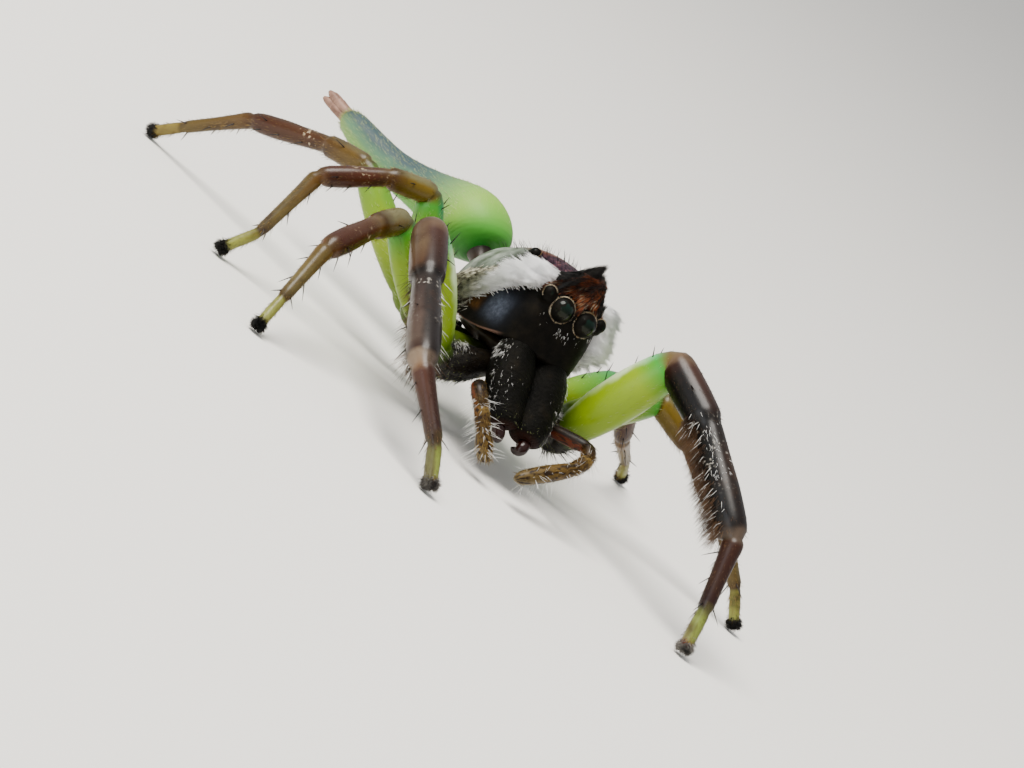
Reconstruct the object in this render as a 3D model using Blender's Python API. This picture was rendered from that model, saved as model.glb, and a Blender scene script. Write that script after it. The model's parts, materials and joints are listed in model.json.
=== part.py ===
"""Green jumping spider, adult male: a still, life-size model standing on eight level feet.

The floor is z = 0, the spider faces -Y, and its left side is +X. The front half is built
in a frame of its own, whose origin is the middle of the carapace's lower rim, and which
an empty lifts and pitches nose-up.
"""

import math

import bmesh
import bpy
from mathutils import Euler, Matrix, Vector

MM = 0.001
GAP = 0.3 * MM            # between neighbouring pieces
EYE_GAP = 0.15 * MM       # round an eye in its socket, which is small itself

# front half, in millimetres in its own frame
BODY_PLACE = Vector((-0.85, -0.39, 4.1))
BODY_PITCH = 7.0          # degrees, nose up
CARAPACE_LENGTH = 5.8
CARAPACE_HALF_WIDTH = 2.38
CARAPACE_HEIGHT = 2.92
RIM_DEPTH = 0.36
PEDICEL_RADIUS = 0.3

# abdomen, in millimetres on the floor's frame: its middle line from the waist to the spinnerets
ABDOMEN_LINE = (
    Vector((-1.05, 4.15, 4.8)),
    Vector((-1.45, 5.5, 5.28)),
    Vector((-3.44, 8.8, 4.8)),
    Vector((-4.93, 11.35, 4.98)),
)
ABDOMEN_RADIUS = 1.45

SIDES = {"R": -1.0, "L": 1.0}

# legs: lengths of femur, patella, tibia, metatarsus and tarsus, in millimetres
LEG_LENGTHS = {
    "1": (5.3, 2.8, 4.5, 2.8, 1.5),
    "2": (4.5, 2.0, 3.0, 2.6, 1.4),
    "3": (4.6, 1.8, 2.6, 2.9, 1.5),
    "4": (5.4, 1.9, 3.4, 3.0, 1.4),
}
# largest radius of the same five, and of the claw tuft
LEG_RADII = {
    "1": (0.83, 0.68, 0.62, 0.36, 0.26, 0.31),
    "2": (0.65, 0.50, 0.47, 0.30, 0.25, 0.30),
    "3": (0.60, 0.43, 0.39, 0.27, 0.25, 0.30),
    "4": (0.60, 0.42, 0.38, 0.27, 0.25, 0.30),
}
# where the coxa leaves the breastplate and where it ends, on the left side
COXA_ROOTS = {
    "1": (0.75, -1.45, -1.35),
    "2": (0.75, -0.6, -1.3),
    "3": (0.75, 0.55, -1.3),
    "4": (0.75, 1.7, -1.3),
}
COXA_ENDS = {
    "1": (2.95, -1.95, -2.45),
    "2": (3.2, -0.55, -1.95),
    "3": (3.2, 0.75, -1.85),
    "4": (2.7, 2.1, -1.7),
}
# pose in degrees: plan angle behind straight-out for femur, patella with tibia, and foot,
# then the rise of femur, patella, tibia and tarsus; the metatarsus comes down to the floor
LEG_POSES = {
    "R1": (1, -82, -116, 46, -23, -22, -52),
    "R2": (8, -42, -56, 39, -13, -25, -51),
    "R3": (25, 3, -1, 60, -13, -33, -56),
    "R4": (45, 62, 65, 32, -14, -23, -44),
    "L1": (-50, -68, -92, 72, -15, -29, -68),
    "L2": (8, -29, -32, 37, -15, -28, -53),
    "L3": (32, 30, 42, 24, -8, -43, -33),
    "L4": (58, 58, 58, 33, -4, -28, -41),
}
SOLE_HEIGHT = 0.22        # of the tarsus's middle line where it ends, over the floor

# eyes on the left side: place and radius
EYES = {
    "front_middle": ((0.56, -2.74, 1.66), 0.45),
    "front_side": ((1.34, -2.42, 1.94), 0.27),
    "small_side": ((1.5, -1.6, 2.36), 0.13),
    "rear_side": ((1.46, -0.6, 2.66), 0.25),
}

COLOURS = {
    "black": (0.012, 0.010, 0.009, 1.0),
    "glass": (0.004, 0.012, 0.010, 1.0),
    "thorax": (0.10, 0.09, 0.05, 1.0),
    "green": (0.16, 0.36, 0.03, 1.0),
    "abdomen": (0.12, 0.34, 0.06, 1.0),
    "brown": (0.07, 0.030, 0.018, 1.0),
    "amber": (0.40, 0.20, 0.06, 1.0),
    "pink": (0.30, 0.15, 0.11, 1.0),
}


def clear_scene():
    for ob in list(bpy.data.objects):
        bpy.data.objects.remove(ob, do_unlink=True)


def new_collection(name):
    made = bpy.data.collections.new(name)
    bpy.context.scene.collection.children.link(made)
    return made


def new_material(name, colour, roughness):
    mat = bpy.data.materials.new(name)
    mat.use_nodes = True
    shader = mat.node_tree.nodes["Principled BSDF"]
    shader.inputs["Base Color"].default_value = colour
    shader.inputs["Roughness"].default_value = roughness
    shader.inputs["Metallic"].default_value = 0.0
    return mat


clear_scene()
SPIDER = new_collection("green_jumping_spider")
CUTTERS = new_collection("cutters")

prosoma = bpy.data.objects.new("prosoma_axis", None)
prosoma.location = BODY_PLACE * MM
prosoma.rotation_euler = (math.radians(-BODY_PITCH), 0.0, 0.0)
SPIDER.objects.link(prosoma)
PROSOMA_MATRIX = Matrix.Translation(BODY_PLACE * MM) @ Euler(prosoma.rotation_euler).to_matrix().to_4x4()


def add_object(name, bm, colour, roughness, on_prosoma=True, collection=None):
    """Turns bm into a smooth-shaded object with its own material."""
    mesh = bpy.data.meshes.new(name)
    bmesh.ops.recalc_face_normals(bm, faces=bm.faces[:])
    bm.to_mesh(mesh)
    bm.free()
    mesh.shade_smooth()
    mesh.materials.append(new_material(name, COLOURS[colour], roughness))
    ob = bpy.data.objects.new(name, mesh)
    (collection or SPIDER).objects.link(ob)
    if on_prosoma:
        ob.parent = prosoma
    return ob


def as_cutter(ob):
    ob.hide_render = True
    ob.display_type = "WIRE"
    return ob


def spline(stations, t):
    """A smooth curve through the stations' values, where t runs from 0 to 1 over them."""
    last = len(stations) - 1
    place = t * last
    i = min(int(place), last - 1)
    f = place - i
    p0 = stations[max(i - 1, 0)]
    p1 = stations[i]
    p2 = stations[i + 1]
    p3 = stations[min(i + 2, last)]
    return [
        0.5 * (2 * b + (c - a) * f + (2 * a - 5 * b + 4 * c - d) * f * f + (3 * b - a - 3 * c + d) * f**3)
        for a, b, c, d in zip(p0, p1, p2, p3)
    ]


def along(a, b, t):
    return a + (b - a) * t


def loft(rings):
    """A closed bmesh through rings of points of one count, with its ends closed."""
    bm = bmesh.new()
    loops = [[bm.verts.new(Vector(p) * MM) for p in ring] for ring in rings]
    for a, b in zip(loops, loops[1:]):
        for i in range(len(a)):
            j = (i + 1) % len(a)
            bm.faces.new((a[i], a[j], b[j], b[i]))
    for loop in (loops[0], loops[-1]):
        hub = bm.verts.new(sum((v.co for v in loop), Vector()) / len(loop))
        for i in range(len(loop)):
            bm.faces.new((loop[i], loop[(i + 1) % len(loop)], hub))
    return bm


def superellipse(angle, power):
    """A point of a squarish unit oval."""
    c = math.cos(angle)
    s = math.sin(angle)
    return math.copysign(abs(c) ** (2 / power), c), math.copysign(abs(s) ** (2 / power), s)


def ball(centre, radii, segments=16, rings=10):
    """A closed ball of its own three half-sizes, in millimetres."""
    bm = bmesh.new()
    bmesh.ops.create_uvsphere(bm, u_segments=segments, v_segments=rings, radius=MM)
    bmesh.ops.scale(bm, verts=bm.verts[:], vec=radii)
    bmesh.ops.translate(bm, verts=bm.verts[:], vec=Vector(centre) * MM)
    return bm


def tube(name, points, radii, sides_step, colour, roughness, on_prosoma):
    """A solid tube whose radius changes along points, from a bevelled curve."""
    curve = bpy.data.curves.new(name + "_line", "CURVE")
    curve.dimensions = "3D"
    curve.bevel_depth = MM
    curve.bevel_resolution = sides_step
    curve.use_fill_caps = True
    line = curve.splines.new("POLY")
    line.points.add(len(points) - 1)
    for p, place, radius in zip(line.points, points, radii):
        p.co = (*(Vector(place) * MM), 1.0)
        p.radius = radius
    guide = bpy.data.objects.new(name + "_line", curve)
    CUTTERS.objects.link(guide)
    bpy.context.view_layer.update()
    evaluated = guide.evaluated_get(bpy.context.evaluated_depsgraph_get())
    mesh = bpy.data.meshes.new_from_object(evaluated)
    bm = bmesh.new()
    bm.from_mesh(mesh)
    bpy.data.objects.remove(guide, do_unlink=True)
    bpy.data.meshes.remove(mesh)
    bmesh.ops.remove_doubles(bm, verts=bm.verts[:], dist=0.0001 * MM)
    return add_object(name, bm, colour, roughness, on_prosoma)


def cut(ob, point, normal):
    """Cuts ob with a plane in its own frame, takes off the side that the normal points to and closes it."""
    bm = bmesh.new()
    bm.from_mesh(ob.data)
    everything = bm.verts[:] + bm.edges[:] + bm.faces[:]
    bmesh.ops.bisect_plane(
        bm, geom=everything, dist=1e-7, plane_co=Vector(point) * MM, plane_no=normal, clear_outer=True
    )
    bmesh.ops.holes_fill(bm, edges=[e for e in bm.edges if e.is_boundary], sides=0)
    bmesh.ops.recalc_face_normals(bm, faces=bm.faces[:])
    bm.to_mesh(ob.data)
    bm.free()


def apply_boolean(ob, operation, others, solver="EXACT"):
    """Applies one Boolean of ob with a collection of closed meshes."""
    group = bpy.data.collections.new(ob.name + "_group")
    for other in others:
        group.objects.link(other)
    mod = ob.modifiers.new(operation.lower(), "BOOLEAN")
    mod.operation = operation
    mod.operand_type = "COLLECTION"
    mod.collection = group
    mod.solver = solver
    bpy.context.view_layer.update()
    evaluated = ob.evaluated_get(bpy.context.evaluated_depsgraph_get())
    mesh = bpy.data.meshes.new_from_object(evaluated)
    ob.modifiers.clear()
    old = ob.data
    ob.data = mesh
    bpy.data.meshes.remove(old)
    bpy.data.collections.remove(group)


def keep_largest(ob):
    """Keeps the closed surface with the most room in it, and drops loose scraps and sealed hollows."""
    bm = bmesh.new()
    bm.from_mesh(ob.data)
    unseen = set(bm.faces)
    shells = []
    while unseen:
        stack = [unseen.pop()]
        shell = set(stack)
        while stack:
            face = stack.pop()
            for edge in face.edges:
                for near in edge.link_faces:
                    if near in unseen:
                        unseen.discard(near)
                        shell.add(near)
                        stack.append(near)
        shells.append(shell)

    def room(shell):
        return abs(sum(f.calc_center_median().dot(f.normal) * f.calc_area() for f in shell))

    largest = max(shells, key=room)
    bmesh.ops.delete(bm, geom=[f for f in bm.faces if f not in largest], context="FACES")
    bm.to_mesh(ob.data)
    bm.free()


def fuse(ob, extras):
    """Joins extras to ob as one closed body, and removes them."""
    apply_boolean(ob, "UNION", extras)
    for extra in extras:
        bpy.data.objects.remove(extra, do_unlink=True)
    keep_largest(ob)


# carapace: stations from the face to the rear slope, each a place along the body, half width,
# height over the rim, depth of the underside, squareness, and how far the flank's rim hangs down
CARAPACE_STATIONS = (
    (-2.84, 0.62, 1.80, 0.16, 2.6, 0.00),
    (-2.72, 1.14, 2.12, 0.26, 2.7, 0.00),
    (-2.46, 1.50, 2.38, 0.33, 2.8, 0.10),
    (-2.00, 1.80, 2.62, 0.36, 2.8, 0.30),
    (-1.25, 2.10, 2.82, 0.36, 2.7, 0.55),
    (-0.45, 2.30, 2.92, 0.36, 2.6, 0.65),
    (0.45, 2.38, 2.72, 0.36, 2.4, 0.60),
    (1.25, 2.22, 2.20, 0.36, 2.2, 0.42),
    (1.95, 1.85, 1.52, 0.34, 2.0, 0.20),
    (2.55, 1.25, 0.90, 0.30, 2.0, 0.05),
    (2.88, 0.60, 0.50, 0.22, 2.0, 0.00),
)
CARAPACE_RINGS = 24
CARAPACE_SIDES = 28


def carapace_ring(t):
    y, half_width, height, depth, power, hang = spline(CARAPACE_STATIONS, t)
    ring = []
    for i in range(CARAPACE_SIDES):
        angle = 2 * math.pi * i / CARAPACE_SIDES
        c, s = superellipse(angle, power)
        z = height * s if s > 0 else depth * s
        ring.append((half_width * c, y, z - hang * math.cos(angle) ** 4))
    return ring


def make_carapace():
    rings = [carapace_ring(i / (CARAPACE_RINGS - 1)) for i in range(CARAPACE_RINGS)]
    ob = add_object("carapace", loft(rings), "black", 0.25)
    extras = []
    for side in SIDES.values():
        # the low bumps that carry the rear and side eyes
        for name, size in (("rear_side", 0.44), ("front_side", 0.42)):
            (x, y, z), _ = EYES[name]
            bump = ball((side * (x - 0.12), y + 0.08, z - 0.14), (size,) * 3, 12, 8)
            extras.append(add_object("bump", bump, "black", 0.3))
        extras += make_whiskers(side)
    extras += make_crest()
    fuse(ob, extras)
    sockets = []
    for side in SIDES.values():
        for (x, y, z), radius in EYES.values():
            r = radius + EYE_GAP / MM
            socket = ball((side * x, y, z), (r,) * 3, 14, 9)
            sockets.append(as_cutter(add_object("socket", socket, "glass", 0.1, collection=CUTTERS)))
    apply_boolean(ob, "DIFFERENCE", sockets)
    for socket in sockets:
        bpy.data.objects.remove(socket, do_unlink=True)
    keep_largest(ob)
    return ob


def skin_point(side, y, rise):
    """The carapace's surface point at y, and the way out of it, rise degrees over the rim's plane."""
    stations = [spline(CARAPACE_STATIONS, i / 60) for i in range(61)]
    _, half_width, height, _, power, hang = min(stations, key=lambda one: abs(one[0] - y))
    c, s = superellipse(math.radians(rise), power)
    out = Vector((side * c / half_width, -0.15 if y < -2 else 0.0, s / height)).normalized()
    return Vector((side * half_width * c, y, height * s - hang * math.cos(math.radians(rise)) ** 4)), out


LOCK_PROFILE = ((0.0, 0.85), (0.3, 1.0), (0.6, 0.8), (0.85, 0.42), (1.0, 0.06))


def make_lock(root, tip, across, width, thickness, sag=0.0):
    """One flat, tapered lock of hair from root to tip, with its broad side along across."""
    axis = tip - root
    across = (across - across.project(axis)).normalized()
    flat = axis.cross(across).normalized()
    rings = []
    for t, share in LOCK_PROFILE:
        centre = along(root, tip, t) + flat * sag * math.sin(math.pi * t)
        w = across * width / 2 * share
        h = flat * thickness / 2 * share
        rings.append((centre + w, centre + h, centre - w, centre - h))
    return add_object("lock", loft(rings), "black", 0.7)


WHISKER_ROWS = ((62, 9), (48, 8), (35, 6))    # degrees over the rim's plane, and locks in the row
WHISKER_FRONT = -2.2
WHISKER_REAR = 1.3
WHISKER_LENGTH = 1.2
# middle and half-sizes of the swelling that the front whiskers stand on
CHEEK_PUFF = ((2.15, -1.35, 1.7), (0.7, 0.85, 0.62))


def in_puff(point):
    (x, y, z), (half_x, half_y, half_z) = CHEEK_PUFF
    reach = Vector(((abs(point.x) - x) / half_x, (point.y - y) / half_y, (point.z - z) / half_z))
    return reach.length < 1


def make_whiskers(side):
    """The white side whiskers: rows of locks along the cheek, swept out, down and back."""
    (x, y, z), half_sizes = CHEEK_PUFF
    locks = [add_object("puff", ball((side * x, y, z), half_sizes, 14, 9), "black", 0.7)]
    for row, (rise, count) in enumerate(WHISKER_ROWS):
        for i in range(count):
            share = (i + 0.5 * (row % 2)) / count
            y = along(WHISKER_FRONT, WHISKER_REAR, share)
            skin, out = skin_point(side, y, rise + 6 * math.sin(2.4 * i))
            sweep = Vector((side * (1.0 - 0.75 * share), 0.25 + 0.65 * share, -0.1 - 0.4 * share))
            sweep.normalize()
            length = WHISKER_LENGTH * (1.15 - 0.3 * share + 0.1 * math.sin(3.1 * i + row)) * (1 - 0.08 * row)
            root = skin - out * 0.22
            while in_puff(root + sweep * 0.25):
                root = root + sweep * 0.05
            tip = root + sweep * length
            locks.append(make_lock(root, tip, Vector((0, 1, 0.35)), 0.62, 0.32))
    return locks


CREST_LOCKS = 13
CREST_HALF_WIDTH = 0.95
CREST_PEAK = Vector((0.0, -2.75, 3.9))


def make_crest():
    """The black topknot: overlapping locks across the brow that lean in to one peak."""
    locks = []
    for row, back in enumerate((0.0, 0.28, 0.56)):
        count = CREST_LOCKS - 3 * row
        for i in range(count):
            place = 2 * i / (count - 1) - 1
            x = place * CREST_HALF_WIDTH * (1 - 0.12 * row)
            root = Vector((x, -2.35 + back, 2.2 + 0.12 * row))
            reach = 1 - abs(place) ** 1.4 * 0.55 + 0.05 * math.sin(5 * i + row)
            tip = CREST_PEAK + Vector((0.35 * place, 0.3 * back, -0.12 * row))
            tip = along(root, tip, reach)
            locks.append(make_lock(root, tip, Vector((1, 0, 0)), 0.36, 0.24))
    return locks


def make_eyes():
    for letter, side in SIDES.items():
        for name, ((x, y, z), radius) in EYES.items():
            fine = (16, 10) if radius > 0.4 else (12, 8)
            add_object(f"eye_{name}_{letter}", ball((side * x, y, z), (radius,) * 3, *fine), "glass", 0.05)


STERNUM_CENTRE = (0.0, 0.1, -1.22)
STERNUM_HALF = (0.72, 2.05, 0.5)


def make_sternum():
    """The breastplate with the mouth's side lobes at its front."""
    ob = add_object("sternum", ball(STERNUM_CENTRE, STERNUM_HALF, 20, 10), "brown", 0.4)
    lobes = []
    for side in SIDES.values():
        lobe = ball((side * 0.34, -1.95, -1.5), (0.3, 0.45, 0.42), 12, 8)
        lobes.append(add_object("lobe", lobe, "brown", 0.4))
    fuse(ob, lobes)
    return ob


def direction(side, plan, rise):
    """A unit direction: plan degrees behind straight-out on that side, rise degrees up."""
    a = math.radians(plan)
    e = math.radians(rise)
    return Vector((side * math.cos(a) * math.cos(e), math.sin(a) * math.cos(e), math.sin(e)))


def leg_joints(leg):
    """The leg's joints on the floor's frame in millimetres, from the coxa's root to the claws."""
    side = SIDES[leg[0]]
    pair = leg[1]
    root, hip = (
        PROSOMA_MATRIX @ (Vector((side * x, y, z)) * MM) / MM
        for x, y, z in (COXA_ROOTS[pair], COXA_ENDS[pair])
    )
    femur, patella, tibia, metatarsus, tarsus = LEG_LENGTHS[pair]
    plan_femur, plan_tibia, plan_foot, rise_femur, rise_patella, rise_tibia, rise_tarsus = LEG_POSES[leg]
    knee = hip + femur * direction(side, plan_femur, rise_femur)
    patella_end = knee + patella * direction(side, plan_tibia, rise_patella)
    tibia_end = patella_end + tibia * direction(side, plan_tibia, rise_tibia)
    tarsus_step = tarsus * direction(side, plan_foot, rise_tarsus)
    drop = tibia_end.z + tarsus_step.z - SOLE_HEIGHT
    rise_metatarsus = -math.degrees(math.asin(min(1.0, drop / metatarsus)))
    ankle = tibia_end + metatarsus * direction(side, plan_foot, rise_metatarsus)
    return [root, hip, knee, patella_end, tibia_end, ankle, ankle + tarsus_step]


def mitre(a, b, c):
    """The plane through b that halves the bend from a to c, pointing onwards."""
    return ((b - a).normalized() + (c - b).normalized()).normalized()


def make_leg(leg, sternum_room):
    root, hip, knee, patella_end, tibia_end, ankle, toe = leg_joints(leg)
    femur, patella, tibia, metatarsus, tarsus, tuft = LEG_RADII[leg[1]]
    half = GAP / MM / 2
    front = leg[1] == "1"
    over = 0.8 * femur

    coxa_radius = 0.74 * femur
    hip_plane = mitre(root, hip, knee)
    onward = (hip - root).normalized()
    coxa = tube(
        f"leg_{leg}_coxa",
        [root, along(root, hip, 0.25), along(root, hip, 0.6), along(root, hip, 0.85), hip]
        + [hip + onward * over * t for t in (0.45, 0.8)],
        [coxa_radius * f for f in (0.72, 0.84, 1.0, 0.92, 0.95, 0.82, 0.4)],
        3, "brown" if front else "green", 0.4, False,
    )
    cut(coxa, hip - hip_plane * half, hip_plane)
    apply_boolean(coxa, "DIFFERENCE", [sternum_room])
    keep_largest(coxa)

    knee_plane = mitre(hip, knee, patella_end)
    axis = (knee - hip).normalized()
    femur_ob = tube(
        f"leg_{leg}_femur",
        [hip - axis * over * t for t in (0.8, 0.45, 0.0)]
        + [along(hip, knee, t) for t in (0.12, 0.3, 0.5, 0.7, 0.88)]
        + [knee + axis * over * t for t in (0.0, 0.45, 0.8)],
        [femur * f for f in (0.3, 0.6, 0.70, 0.86, 0.98, 1.0, 0.95, 0.86, 0.78, 0.64, 0.3)],
        3, "green", 0.35, False,
    )
    cut(femur_ob, hip + hip_plane * half, -hip_plane)
    cut(femur_ob, knee - knee_plane * half, knee_plane)

    shin_plane = mitre(patella_end, tibia_end, ankle)
    axis = (patella_end - knee).normalized()
    end = (tibia_end - patella_end).normalized()
    shin = tube(
        f"leg_{leg}_tibia",
        [knee - axis * over * t for t in (0.8, 0.45, 0.0)]
        + [along(knee, patella_end, t) for t in (0.2, 0.5, 0.85)]
        + [patella_end]
        + [along(patella_end, tibia_end, t) for t in (0.12, 0.35, 0.6, 0.85)]
        + [tibia_end, tibia_end + end * 0.5],
        [patella * f for f in (0.36, 0.70, 0.84, 0.96, 1.0, 0.94)]
        + [0.9 * tibia]
        + [tibia * f for f in (0.92, 1.0, 0.98, 0.86, 0.74, 0.72)],
        3, "brown", 0.3, False,
    )
    cut(shin, knee + knee_plane * half, -knee_plane)
    cut(shin, tibia_end - shin_plane * half, shin_plane)

    axis = (ankle - tibia_end).normalized()
    end = (toe - ankle).normalized()
    foot = tube(
        f"leg_{leg}_foot",
        [tibia_end - axis * 0.5, tibia_end]
        + [along(tibia_end, ankle, t) for t in (0.25, 0.6, 0.95)]
        + [along(ankle, toe, t) for t in (0.15, 0.45, 0.68, 0.82, 1.0)]
        + [toe + end * 0.7],
        [metatarsus * f for f in (1.08, 1.06, 1.0, 0.94)] + [0.96 * tarsus]
        + [tarsus, tarsus, 1.02 * tarsus, tuft, tuft, 0.9 * tuft],
        3, "amber" if not front else "brown", 0.4, False,
    )
    cut(foot, tibia_end + shin_plane * half, -shin_plane)
    cut(foot, (0, 0, 0), (0, 0, -1))


# mouthparts, on the left side of the front half's frame
CHELICERA_LINE = (Vector((0.82, -2.05, 0.0)), Vector((0.86, -3.05, -1.5)), Vector((0.68, -4.05, -2.86)))
CHELICERA_RADIUS = 0.67
FANG = ((0.62, -4.23, -3.12), (0.52, -4.30, -3.34), (0.37, -4.18, -3.46), (0.20, -3.95, -3.42))
PALPS = {
    "R": ((1.2, -2.4, -2.2), (2.35, -4.1, -2.15), (2.1, -4.6, -2.6), (1.75, -5.05, -3.2), (1.1, -5.4, -4.1)),
    "L": ((1.2, -2.4, -2.2), (2.6, -4.6, -1.75), (2.55, -5.1, -2.1), (2.0, -5.5, -2.6), (-0.1, -6.0, -3.95)),
}
PALP_RADIUS = 0.27


def make_mouthparts():
    for letter, side in SIDES.items():
        flip = Vector((side, 1, 1))
        chelicera = tube(
            f"chelicera_{letter}",
            [
                Vector(spline(CHELICERA_LINE, t)) * flip
                for t in (0.0, 0.2, 0.35, 0.5, 0.65, 0.8, 0.92, 0.98, 1.0)
            ],
            [CHELICERA_RADIUS * f for f in (0.92, 1.0, 1.02, 1.0, 0.95, 0.87, 0.76, 0.64, 0.5)],
            5, "black", 0.2, True,
        )
        cut(chelicera, (0, 0, -RIM_DEPTH - GAP / MM), (0, 0, 1))
        fang = [Vector(p) * flip for p in FANG]
        tube(f"fang_{letter}", fang, [0.19, 0.17, 0.12, 0.04], 2, "amber", 0.2, True)
        start, knee, patella_end, tibia_end, end = (Vector(p) * flip for p in PALPS[letter])
        middle_plane = mitre(knee, patella_end, tibia_end)
        onward = (patella_end - knee).normalized()
        arm = tube(
            f"palp_{letter}_arm",
            [start, along(start, knee, 0.3), along(start, knee, 0.75), along(start, knee, 0.95),
             along(knee, patella_end, 0.3), patella_end, patella_end + onward * 0.3],
            [PALP_RADIUS * f for f in (0.85, 0.95, 1.0, 1.0, 1.0, 0.95, 0.95)],
            3, "brown", 0.4, True,
        )
        cut(arm, patella_end - middle_plane * GAP / MM / 2, middle_plane)
        back = (tibia_end - patella_end).normalized()
        hand = tube(
            f"palp_{letter}_hand",
            [patella_end - back * 0.3, patella_end, tibia_end]
            + [along(tibia_end, end, t) for t in (0.2, 0.5, 0.8, 0.93, 1.0)],
            [PALP_RADIUS * f for f in (0.9, 0.95, 1.0, 1.08, 1.15, 1.02, 0.75, 0.4)],
            3, "amber", 0.5, True,
        )
        cut(hand, patella_end + middle_plane * GAP / MM / 2, -middle_plane)


# abdomen: place on its middle line, where a third is each of the line's steps, and share of its
# largest radius; the front is a full ball, and the rear a slim tail
ABDOMEN_PROFILE = (
    (0.0, 0.16), (0.03, 0.42), (0.07, 0.62), (0.12, 0.78), (0.2, 0.93), (0.31, 1.0), (0.36, 0.96),
    (0.42, 0.83), (0.49, 0.66), (0.58, 0.52), (0.667, 0.47), (0.8, 0.44), (0.9, 0.39), (0.96, 0.30),
    (1.0, 0.15),
)
ABDOMEN_SIDES = 20


def abdomen_frame(t):
    """A point of the abdomen's middle line, and the directions along it, across it and out of its back."""
    here = Vector(spline(ABDOMEN_LINE, t))
    onward = Vector(spline(ABDOMEN_LINE, min(t + 0.01, 1.0))) - Vector(spline(ABDOMEN_LINE, min(t, 0.99)))
    axis = onward.normalized()
    across = axis.cross(Vector((0, 0, 1))).normalized()
    return here, axis, across, across.cross(axis)


def make_abdomen():
    rings = []
    for place, radius in ABDOMEN_PROFILE:
        centre, _, across, up = abdomen_frame(place)
        r = radius * ABDOMEN_RADIUS
        rings.append(
            [
                centre + across * r * math.cos(a) + up * 0.96 * r * math.sin(a)
                for a in (2 * math.pi * k / ABDOMEN_SIDES for k in range(ABDOMEN_SIDES))
            ]
        )
    add_object("abdomen", loft(rings), "abdomen", 0.45, False)

    tip, axis, across, up = abdomen_frame(1.0)
    stub = tip + axis * GAP / MM
    pieces = []
    for k in range(4):
        a = math.pi / 4 + k * math.pi / 2
        offset = (across * math.cos(a) + up * math.sin(a)) * 0.15
        pieces.append(
            tube(
                "spinneret",
                [stub + offset * 0.8, stub + offset + axis * 0.35, stub + offset * 1.5 + axis * 0.8],
                [0.2, 0.19, 0.09], 2, "pink", 0.5, False,
            )
        )
    first = pieces.pop(0)
    first.name = "spinnerets"
    fuse(first, pieces)

    rear = PROSOMA_MATRIX @ (Vector((0, 2.88, 0.12)) * MM) / MM
    back = PROSOMA_MATRIX.to_3x3() @ Vector((0, 1, 0))
    front, axis, _, _ = abdomen_frame(0.0)
    pedicel = tube(
        "pedicel",
        [
            rear + back * GAP / MM,
            along(rear, front, 0.4) + back * 0.1,
            along(rear, front, 0.7),
            front - axis * GAP / MM * 1.1,
        ],
        [PEDICEL_RADIUS * 1.15, PEDICEL_RADIUS, PEDICEL_RADIUS, PEDICEL_RADIUS * 0.9],
        3, "brown", 0.4, False,
    )
    return pedicel


make_carapace()
make_eyes()
make_sternum()
room_ball = ball(STERNUM_CENTRE, [h + GAP / MM for h in STERNUM_HALF], 20, 10)
room = as_cutter(add_object("sternum_room", room_ball, "brown", 0.4, collection=CUTTERS))
for leg in LEG_POSES:
    make_leg(leg, room)
make_mouthparts()
make_abdomen()
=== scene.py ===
# %% [markdown]
# # A green jumping spider, life size
# The male green jumping spider of northern Australia is a slim, long-legged hunter about 15 mm long.
# It has a black topknot, white side whiskers, glassy green thighs and dark, fringed front legs.
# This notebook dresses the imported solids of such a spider. It works in millimetres, because Blender's
# remesh and merge tools stop at a tenth of a millimetre, and shrinks each finished piece to metres.

# %% Load the solids and keep their outer box
import json
import math

import bpy
import numpy as np
from mathutils import Euler, Matrix, Vector

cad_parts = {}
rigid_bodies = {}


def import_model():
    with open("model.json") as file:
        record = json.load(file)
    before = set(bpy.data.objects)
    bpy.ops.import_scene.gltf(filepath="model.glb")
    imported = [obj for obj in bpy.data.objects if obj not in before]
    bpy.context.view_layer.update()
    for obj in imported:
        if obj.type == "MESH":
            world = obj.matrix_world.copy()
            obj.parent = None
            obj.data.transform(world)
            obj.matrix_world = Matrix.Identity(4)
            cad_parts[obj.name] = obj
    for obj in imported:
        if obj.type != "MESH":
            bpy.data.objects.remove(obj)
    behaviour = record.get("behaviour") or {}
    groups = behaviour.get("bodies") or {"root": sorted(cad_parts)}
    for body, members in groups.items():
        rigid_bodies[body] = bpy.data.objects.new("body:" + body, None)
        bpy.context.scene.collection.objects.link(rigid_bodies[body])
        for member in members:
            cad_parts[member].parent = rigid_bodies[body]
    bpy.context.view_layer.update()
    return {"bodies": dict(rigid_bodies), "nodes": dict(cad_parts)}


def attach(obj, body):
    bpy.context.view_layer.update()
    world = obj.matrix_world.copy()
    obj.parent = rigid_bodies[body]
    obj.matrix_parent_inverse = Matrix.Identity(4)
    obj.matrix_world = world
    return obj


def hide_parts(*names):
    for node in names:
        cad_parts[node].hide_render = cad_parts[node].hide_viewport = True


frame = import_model()
BODY = next(iter(frame["bodies"]))
print("solids:", len(frame["nodes"]), "body:", BODY)

# %% [markdown]
# ## Helpers for colour and nodes
# A maker's chart gives colours as sRGB hex values, and the shader wants linear ones, so one function turns
# them over. One adds any node with its settings and links. A finish is then built up as a painter does,
# one colour laid over another inside soft-edged zones, which is easier to read than a web of masks.

# %% Colour and node helpers
def linear(code):
    """An sRGB hex value as a linear colour with alpha."""
    channels = [int(code[i : i + 2], 16) / 255 for i in (1, 3, 5)]
    return tuple(c / 12.92 if c < 0.04045 else ((c + 0.055) / 1.055) ** 2.4 for c in channels) + (1.0,)


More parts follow.
